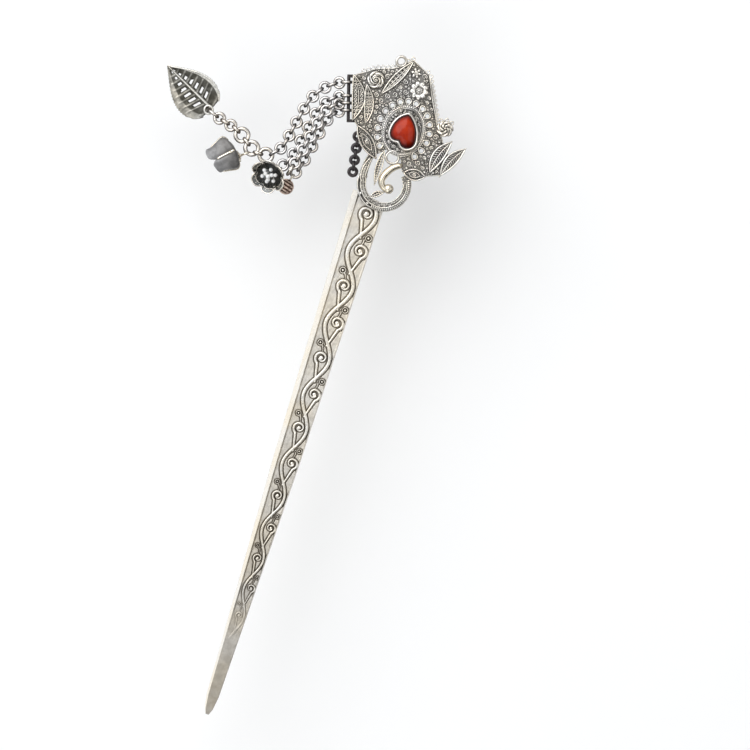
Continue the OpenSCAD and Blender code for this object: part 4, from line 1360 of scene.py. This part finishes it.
def make_tulip():
    foot, cad_axis, length, radius = axis_of("tulip_flower", "tulip_swing")
    along = turned(cad_axis, 8, -3)
    length *= 1.12
    a, b = across_axes(along)
    base = foot - 1.7 * a - 0.5 * along + 0.6 * UP
    form = Form()
    steps = np.linspace(0, 1, 26)
    swell = np.array([0.7, 1.06, 1.08, 0.95, 0.86, 0.86])
    outer = np.interp(steps, [0, 0.1, 0.3, 0.6, 0.82, 1], swell * radius)
    inner = np.maximum(outer - np.interp(steps, [0, 0.8, 1], [0.5, 0.4, 0.12]), 0.05)
    profile = list(zip(steps * length, outer)) + list(zip((steps * length)[::-1][:-3], inner[::-1][:-3]))

    def oval(angle, share):
        wide = 1 + 0.55 * min(1, share / 0.2)
        low = 1 - 0.3 * min(1, share / 0.25)
        return 1 / np.sqrt((np.cos(angle) / wide) ** 2 + (np.sin(angle) / low) ** 2)

    def lobes(row, angle):
        share = profile[row][0] / length
        wave = np.abs(np.sin(2 * angle))
        factor = oval(angle, share) * (1 - 0.24 * share**0.35 * (1 - wave) ** 2.4)
        extra = -length * 0.24 * max(0, share - 0.35) / 0.65 * (1 - wave) ** 1.4
        extra = extra + 0.5 * share * np.cos(angle - 2.4)
        return factor * (1 + 0.07 * max(0, share - 0.85) / 0.15 * wave), extra

    # the outside is darker towards the stem; the inside rows are painted dark as shade inside the cup
    tones = []
    for row in range(len(profile)):
        share = profile[row][0] / length
        tones.append((0.12 + 0.7 * share**1.8) if row < len(steps) else 0.05)
    lathe(form, profile, base, along, 120, lobes, tones)
    form.piece("tulip_petals", "tulip", ["tulip_flower"], "frosted_grey", FROSTED, False)

    # a bright seam wire lies in each crease between two petals
    seams = Form()
    for k in range(4):
        angle = k * math.pi / 2
        out = spoke(angle, a, b)
        t = np.linspace(0.06, 0.78, 20)
        squeeze = np.array([oval(angle, share) for share in t])
        r = np.interp(t, steps, outer) * squeeze * (1 - 0.24 * t**0.35) + 0.1
        path = base + np.outer(t * length, along) + r[:, None] * out
        turned_tube(seams, path, rail_widths(20, 0.4), out, 10)
    neck = foot - cad_axis * 1.1
    dome = [(-0.05, 0.36), (0.0, 0.62), (0.12, 0.95), (0.35, 1.3)]
    dome += [(0.65, 1.55), (0.95, 1.7), (1.15, 1.66), (1.18, 1.2)]
    lathe(seams, dome, neck, cad_axis, 40)
    ca, cb = across_axes(cad_axis)
    for out in spoke(around(12), ca, cb):
        grain(seams, foot + 1.72 * out, 0.38)
    for out in spoke(around(7), ca, cb):
        grain(seams, neck + cad_axis * 0.5 + out * 1.4, 0.24)
    hanging_loop(seams, neck, cad_axis, 0.5)
    seams.piece("tulip_cap_beaded", "tulip", ["tulip_cap"], "polished_silver", WARM)


def hanging_loop(form, neck, along, stem):
    """The short stem and the round loop by which a charm hangs."""
    places = [neck - along * (stem + 0.1), neck - along * stem / 2, neck + along * 0.1]
    tube(form, np.array(places), [0.3, 0.38, 0.5], 12)
    level = unit([along[0], along[1], 0])
    ring(form, neck - along * (stem + 1.02), 1.03, 0.27, 12, 40, axis=np.cross(UP, level))


def turned_tube(form, path, widths, out, sides):
    """A wire whose cross-section is set by a given outward direction."""
    along = unit(np.gradient(path, axis=0))
    side = unit(np.cross(along, out))
    section = spoke(around(sides), side[:, None], np.cross(side, along)[:, None])
    form.add(path[:, None] + np.asarray(widths)[:, None, None] * section, capped(len(path), sides))


def make_bell():
    foot, cad_axis, length, radius = axis_of("bell_flower", "bell_swing")
    along = turned(cad_axis, 24, 10)
    a, b = across_axes(along)
    petals = 6
    radius *= 1.14
    form, rims = Form(), Form()
    steps = np.linspace(0, 1, 16)
    outer = np.interp(steps, [0, 0.15, 0.4, 0.75, 1], np.array([0.36, 0.6, 0.78, 0.92, 1.04]) * radius)
    inner = np.maximum(outer - np.interp(steps, [0, 0.8, 1], [0.5, 0.34, 0.12]), 0.05)
    profile = list(zip(steps * length, outer)) + list(zip((steps * length)[::-1][:-3], inner[::-1][:-3]))

    def wave_at(angle):
        return np.abs(np.cos(petals / 2 * angle))

    def lobes(row, angle):
        share = profile[row][0] / length
        factor = 1 - 0.2 * share * (1 - wave_at(angle)) ** 1.6
        extra = -length * 0.3 * max(0, share - 0.35) / 0.65 * (1 - wave_at(angle)) ** 1.3
        return factor, extra

    lathe(form, profile, foot, along, 120, lobes, 1.0)
    form.piece("bell_petals", "bell", ["bell_flower"], "oxidised_silver", BELL_DARK, False)
    for k in range(petals * 4):
        angle = (k + 0.5) * 2 * math.pi / (petals * 4)
        out = spoke(angle, a, b)
        t = np.linspace(0.35, 0.9, 10)
        r = (np.interp(t, steps, inner) - 0.03) * (1 - 0.2 * t * (1 - wave_at(angle)) ** 1.6)
        path = foot + np.outer(t * length, along) + r[:, None] * out
        turned_tube(rims, path, rail_widths(10, 0.1 if k % 4 in (1, 2) else 0.07), out, 6)
    angle = around(180)
    for share, wire in ((1.0, 0.2), (0.72, 0.09)):
        r = np.interp(share, steps, (outer + inner) / 2 if share == 1.0 else inner)
        r = r * (1 - 0.2 * share * (1 - wave_at(angle)) ** 1.6)
        h = length * (share - 0.3 * max(0, share - 0.35) / 0.65 * (1 - wave_at(angle)) ** 1.3)
        edge = foot + h[:, None] * along + r[:, None] * spoke(angle, a, b)
        turned_ring(rims, edge, along, wire, 8)
    neck = foot - cad_axis * 1.2
    dome = [(-0.05, 0.34), (0.0, 0.55), (0.15, 0.85), (0.45, 1.15), (0.85, 1.38), (1.25, 1.48), (1.3, 1.0)]
    lathe(rims, dome, neck, cad_axis, 36)
    ca, cb = across_axes(cad_axis)
    for out in spoke(around(12), ca, cb):
        grain(rims, foot + 1.42 * out, 0.26)
    hanging_loop(rims, neck, cad_axis, 0.35)
    rims.piece("bell_rims_cap", "bell", ["bell_cap"], "polished_silver", BRIGHT)

    stamens = Form()
    floor = foot + along * 0.45
    for count, spread, rise, size in ((1, 0.0, 2.35, 0.62), (3, 1.0, 2.1, 0.56), (6, 1.85, 1.75, 0.52)):
        for k in range(count):
            turn = k * 2 * math.pi / count + spread
            out = spread * spoke(turn, a, b)
            head = floor + along * rise + out
            turned_tube(stamens, np.array([floor + out * 0.6, head]), [0.16, 0.16], a, 6)
            ball(stamens, head, size, sides=14, rings=8)
    stamens.piece("bell_stamen_beads", "bell", ["bell_stamens"], "white_beads", PEARL)


def make_bud():
    foot, along, length, radius = axis_of("bud_bead", "bud_swing")
    a, b = across_axes(along)
    radius *= 1.12
    centre = foot + along * (length / 2 - 0.3) + [0.45, 0.35, 0.0]
    form = Form()
    ball(form, centre, radius * 0.84, 1.0, 28, 15, 0.3)
    turns = 6
    share = np.linspace(0.04, 0.96, 150)
    polar, spin = share * math.pi, share * turns * 2 * math.pi
    path = centre + radius * 0.86 * spoke(polar, -along, spoke(spin, a, b))
    # painted light: the coil's tone is brighter where it faces up, darker on its lower side
    tube(form, path, 0.24, 8, False, 1.0, np.clip(0.45 + 0.55 * unit(path - centre)[:, 2], 0.2, 1))
    ring(form, centre, radius * 0.93, 0.2, 8, 48, axis=b)
    form.piece("bud_bead_coil", "bud", ["bud_bead"], "silver", ROSY)


# ---------------------------------------------------------------- chain
def loose_parts(node):
    """The separate shells of a CAD node, as arrays of points in millimetres."""
    mesh = frame["nodes"][node].data
    points = node_points(node)
    key = np.unique(np.round(points, 4), axis=0, return_inverse=True)[1].ravel()
    edges = np.zeros(len(mesh.edges) * 2, int)
    mesh.edges.foreach_get("vertices", edges)
    edges = key[edges].reshape(-1, 2)
    label = np.arange(key.max() + 1)
    while True:
        lower = np.minimum(label[edges[:, 0]], label[edges[:, 1]])
        before = label.copy()
        np.minimum.at(label, edges[:, 0], lower)
        np.minimum.at(label, edges[:, 1], lower)
        label = label[label]
        if (label == before).all():
            break
    owner = label[key]
    return [points[owner == k] for k in np.unique(owner)]


def torus_of(points):
    """Centre, axis, radius and wire radius of a ring-shaped shell, or None."""
    middle = (points.min(0) + points.max(0)) / 2
    axis = np.linalg.eigh(np.cov((points - points.mean(0)).T))[1][:, 0]
    middle = middle - axis * ((middle - points.mean(0)) @ axis)
    height = np.ptp((points - middle) @ axis) / 2
    spread = np.linalg.norm(np.cross(points - middle, axis), axis=1)
    wire = (spread.max() - spread.min()) / 2
    if abs(wire - height) > 0.06:
        return None
    return middle, axis, (spread.max() + spread.min()) / 2, wire


def ring_fit(points, axis):
    """Centre, axis, radius and wire radius of a ring from a part of its surface."""
    a, b = across_axes(axis)
    u, v, w = points @ a, points @ b, points @ axis
    system = np.column_stack([2 * u, 2 * v, np.ones(len(u))])
    cu, cv, _ = np.linalg.lstsq(system, u * u + v * v, rcond=None)[0]
    spread = np.hypot(u - cu, v - cv)
    centre = cu * a + cv * b + (w.max() + w.min()) / 2 * axis
    return centre, axis, (spread.max() + spread.min()) / 2, (spread.max() - spread.min()) / 2


def touching_rings(points):
    """The upright and the level ring of a shell that holds one of each."""
    level = (points[:, 2].max() + points[:, 2].min()) / 2
    tall = points[np.abs(points[:, 2] - level) > 0.4]
    ways = np.linalg.eigh(np.cov(tall[:, :2].T))[1]
    upright = ring_fit(tall, np.array([*ways[:, 0], 0.0]))
    centre, axis, radius, wire = upright
    inside = np.abs((points - centre) @ axis) < wire + 0.08
    inside &= np.linalg.norm(points - centre, axis=1) < radius + wire + 0.05
    return [upright, ring_fit(points[~inside], UP)]


def wire_link(form, middle, axis, radius, wire):
    """One link, its tone painted dark on its sides as shade and bright on its top as light from above."""
    a, b = across_axes(axis)
    count, sides = 28, 10
    out = spoke(around(count), a, b)[:, None]
    normal = spoke(around(sides), out, axis)
    points = middle + radius * out + wire * normal
    # painted light and shade: the tone rises where the wire faces up and falls on its sides
    lit_from_above = np.clip((normal[..., 2] - 0.45) / 0.5, 0, 1)
    form.add(points, [quads(count, sides, True, True)], (lit_from_above + 0.04).ravel())


def make_links():
    """Rings and links, drawn over their CAD shapes with the wire a little fuller outwards."""
    for name, node in frame["nodes"].items():
        chain = "strand" in name
        ringlike = name.startswith(("jump_ring", "connector", "leaf_bail", "end_ring", "edge_chain"))
        if not (chain or ringlike):
            continue
        rings = []
        for part in loose_parts(name):
            found = torus_of(part)
            rings += [found] if found else touching_rings(part)
        extra, fuller = (0.02, 0.16) if chain else (0.0, 0.22)
        if name == "leaf_bail":
            extra, fuller = 0.08, 0.17
        # the edge chain's wire is drawn fuller, so its black mass also covers the shadow behind the head's
        # edge
        if name.startswith("edge"):
            extra, fuller = 0.0, 0.27
        form = Form()
        for middle, axis, radius, wire in rings:
            wire_link(form, middle, axis, radius + extra, wire + fuller)
        metal, slot = (CHAIN, "silver") if chain else (RINGS, "polished_silver")
        # the edge chain gets the black metal, partly dark oxide and partly painted shadow
        if name.startswith("edge"):
            metal, slot = EDGE_BLACK, "oxidised_silver"
        body = node.parent.name.split(":", 1)[1]
        form.piece(name + "_links", body, [name], slot, metal, False)


def paint_nodes():
    """CAD nodes whose shape is right keep their meshes and get a finished metal."""
    for name, node in frame["nodes"].items():
        if node.hide_render:
            continue
        # the chain bar and edge nodes get the black metal, which also paints the shadow beside the head's
        # left edge
        metal = EDGE_BLACK if name.startswith("edge") or name == "chain_bar" else PLAIN
        node.data.materials.clear()
        node.data.materials.append(metal)


# ---------------------------------------------------------------- stage
def make_stage():
    floor = bpy.data.meshes.new("floor")
    size, steps, drop = 2.5, 9, -0.03
    line = np.linspace(-size, size, steps)
    X, Y = np.meshgrid(line, line, indexing="ij")
    points = np.stack([X, Y, np.full_like(X, drop)], -1).reshape(-1, 3)
    floor.from_pydata(points, [], quads(steps, steps)[:, ::-1].tolist())
    plane = bpy.data.objects.new("floor", floor)
    bpy.context.scene.collection.objects.link(plane)
    material, tree, shader = nodes_of("floor_paper")
    paper = blended(tree, noise(tree, 0.02, 3), (0.955, 0.955, 0.955), (0.975, 0.975, 0.975))
    tree.links.new(paper, shader.inputs["Base Color"])
    shader.inputs["Roughness"].default_value = 0.9
    shader.inputs["Specular IOR Level"].default_value = 0.1
    floor.materials.append(material)
    graded_sky()
    bpy.context.scene.view_settings.view_transform = "Standard"
    lamp("key", (-0.45, 0.35, 0.75), 0.9, 5.2)
    lamp("side", (0.60, 0.10, 0.65), 0.8, 1.6)
    lamp("low", (-0.10, -0.70, 0.70), 0.8, 2.0)


def graded_sky():
    """A soft box of a sky: bright to the upper left, dim to the lower right."""
    world = bpy.data.worlds.new("studio")
    world.use_nodes = True
    tree = world.node_tree
    back = tree.nodes["Background"]
    place = tree.nodes.new("ShaderNodeTexCoord")
    facing = tree.nodes.new("ShaderNodeVectorMath")
    facing.operation = "DOT_PRODUCT"
    facing.inputs[1].default_value = unit((-0.8, 0.45, 0.40))
    tree.links.new(place.outputs["Generated"], facing.inputs[0])
    level = tree.nodes.new("ShaderNodeMapRange")
    for socket, number in zip(("From Min", "From Max", "To Min", "To Max"), (-0.45, 1.0, 0.05, 0.95)):
        level.inputs[socket].default_value = number
    tree.links.new(facing.outputs["Value"], level.inputs["Value"])
    tree.links.new(level.outputs["Result"], back.inputs["Strength"])
    back.inputs["Color"].default_value = (0.97, 0.985, 1.0, 1)
    bpy.context.scene.world = world


def lamp(name, place, size, power):
    light = bpy.data.lights.new(name, "AREA")
    light.size = size
    light.energy = power
    made = bpy.data.objects.new(name, light)
    made.location = place
    target = Vector((0, -0.03, 0)) - Vector(place)
    made.rotation_euler = target.to_track_quat("-Z", "Y").to_euler()
    bpy.context.scene.collection.objects.link(made)


def make_camera():
    """Straight above, turned so that the pin leans across the picture."""
    data = bpy.data.cameras.new("camera")
    distance = 1.6
    across = 0.195
    data.sensor_width = 36
    data.lens = 36 / 2 / math.tan(math.atan(across / 2 / distance))
    camera = bpy.data.objects.new("camera", data)
    camera.location = (0.01529, -0.04096, distance)
    camera.rotation_euler = (0, 0, math.radians(17.42))
    bpy.context.scene.collection.objects.link(camera)
    bpy.context.scene.camera = camera


make_camera()
make_stage()
make_blade()
make_stone()
make_crescent_band()
make_beaded_edge()
make_curl_scroll()
make_teardrop_loop()
make_inner_fronds()
make_wing_leaves()
make_eye_leaves()
make_feathers()
make_crest_leaf()
make_right_rim()
make_rose()
make_daisy()
make_bud_flower()
make_rosette()
make_rope_ring()
make_halo_lace()
make_rim()
make_fill()
make_plate()
make_eyelet()
make_leaf_charm()
make_tulip()
make_bell()
make_bud()
make_links()
paint_nodes()
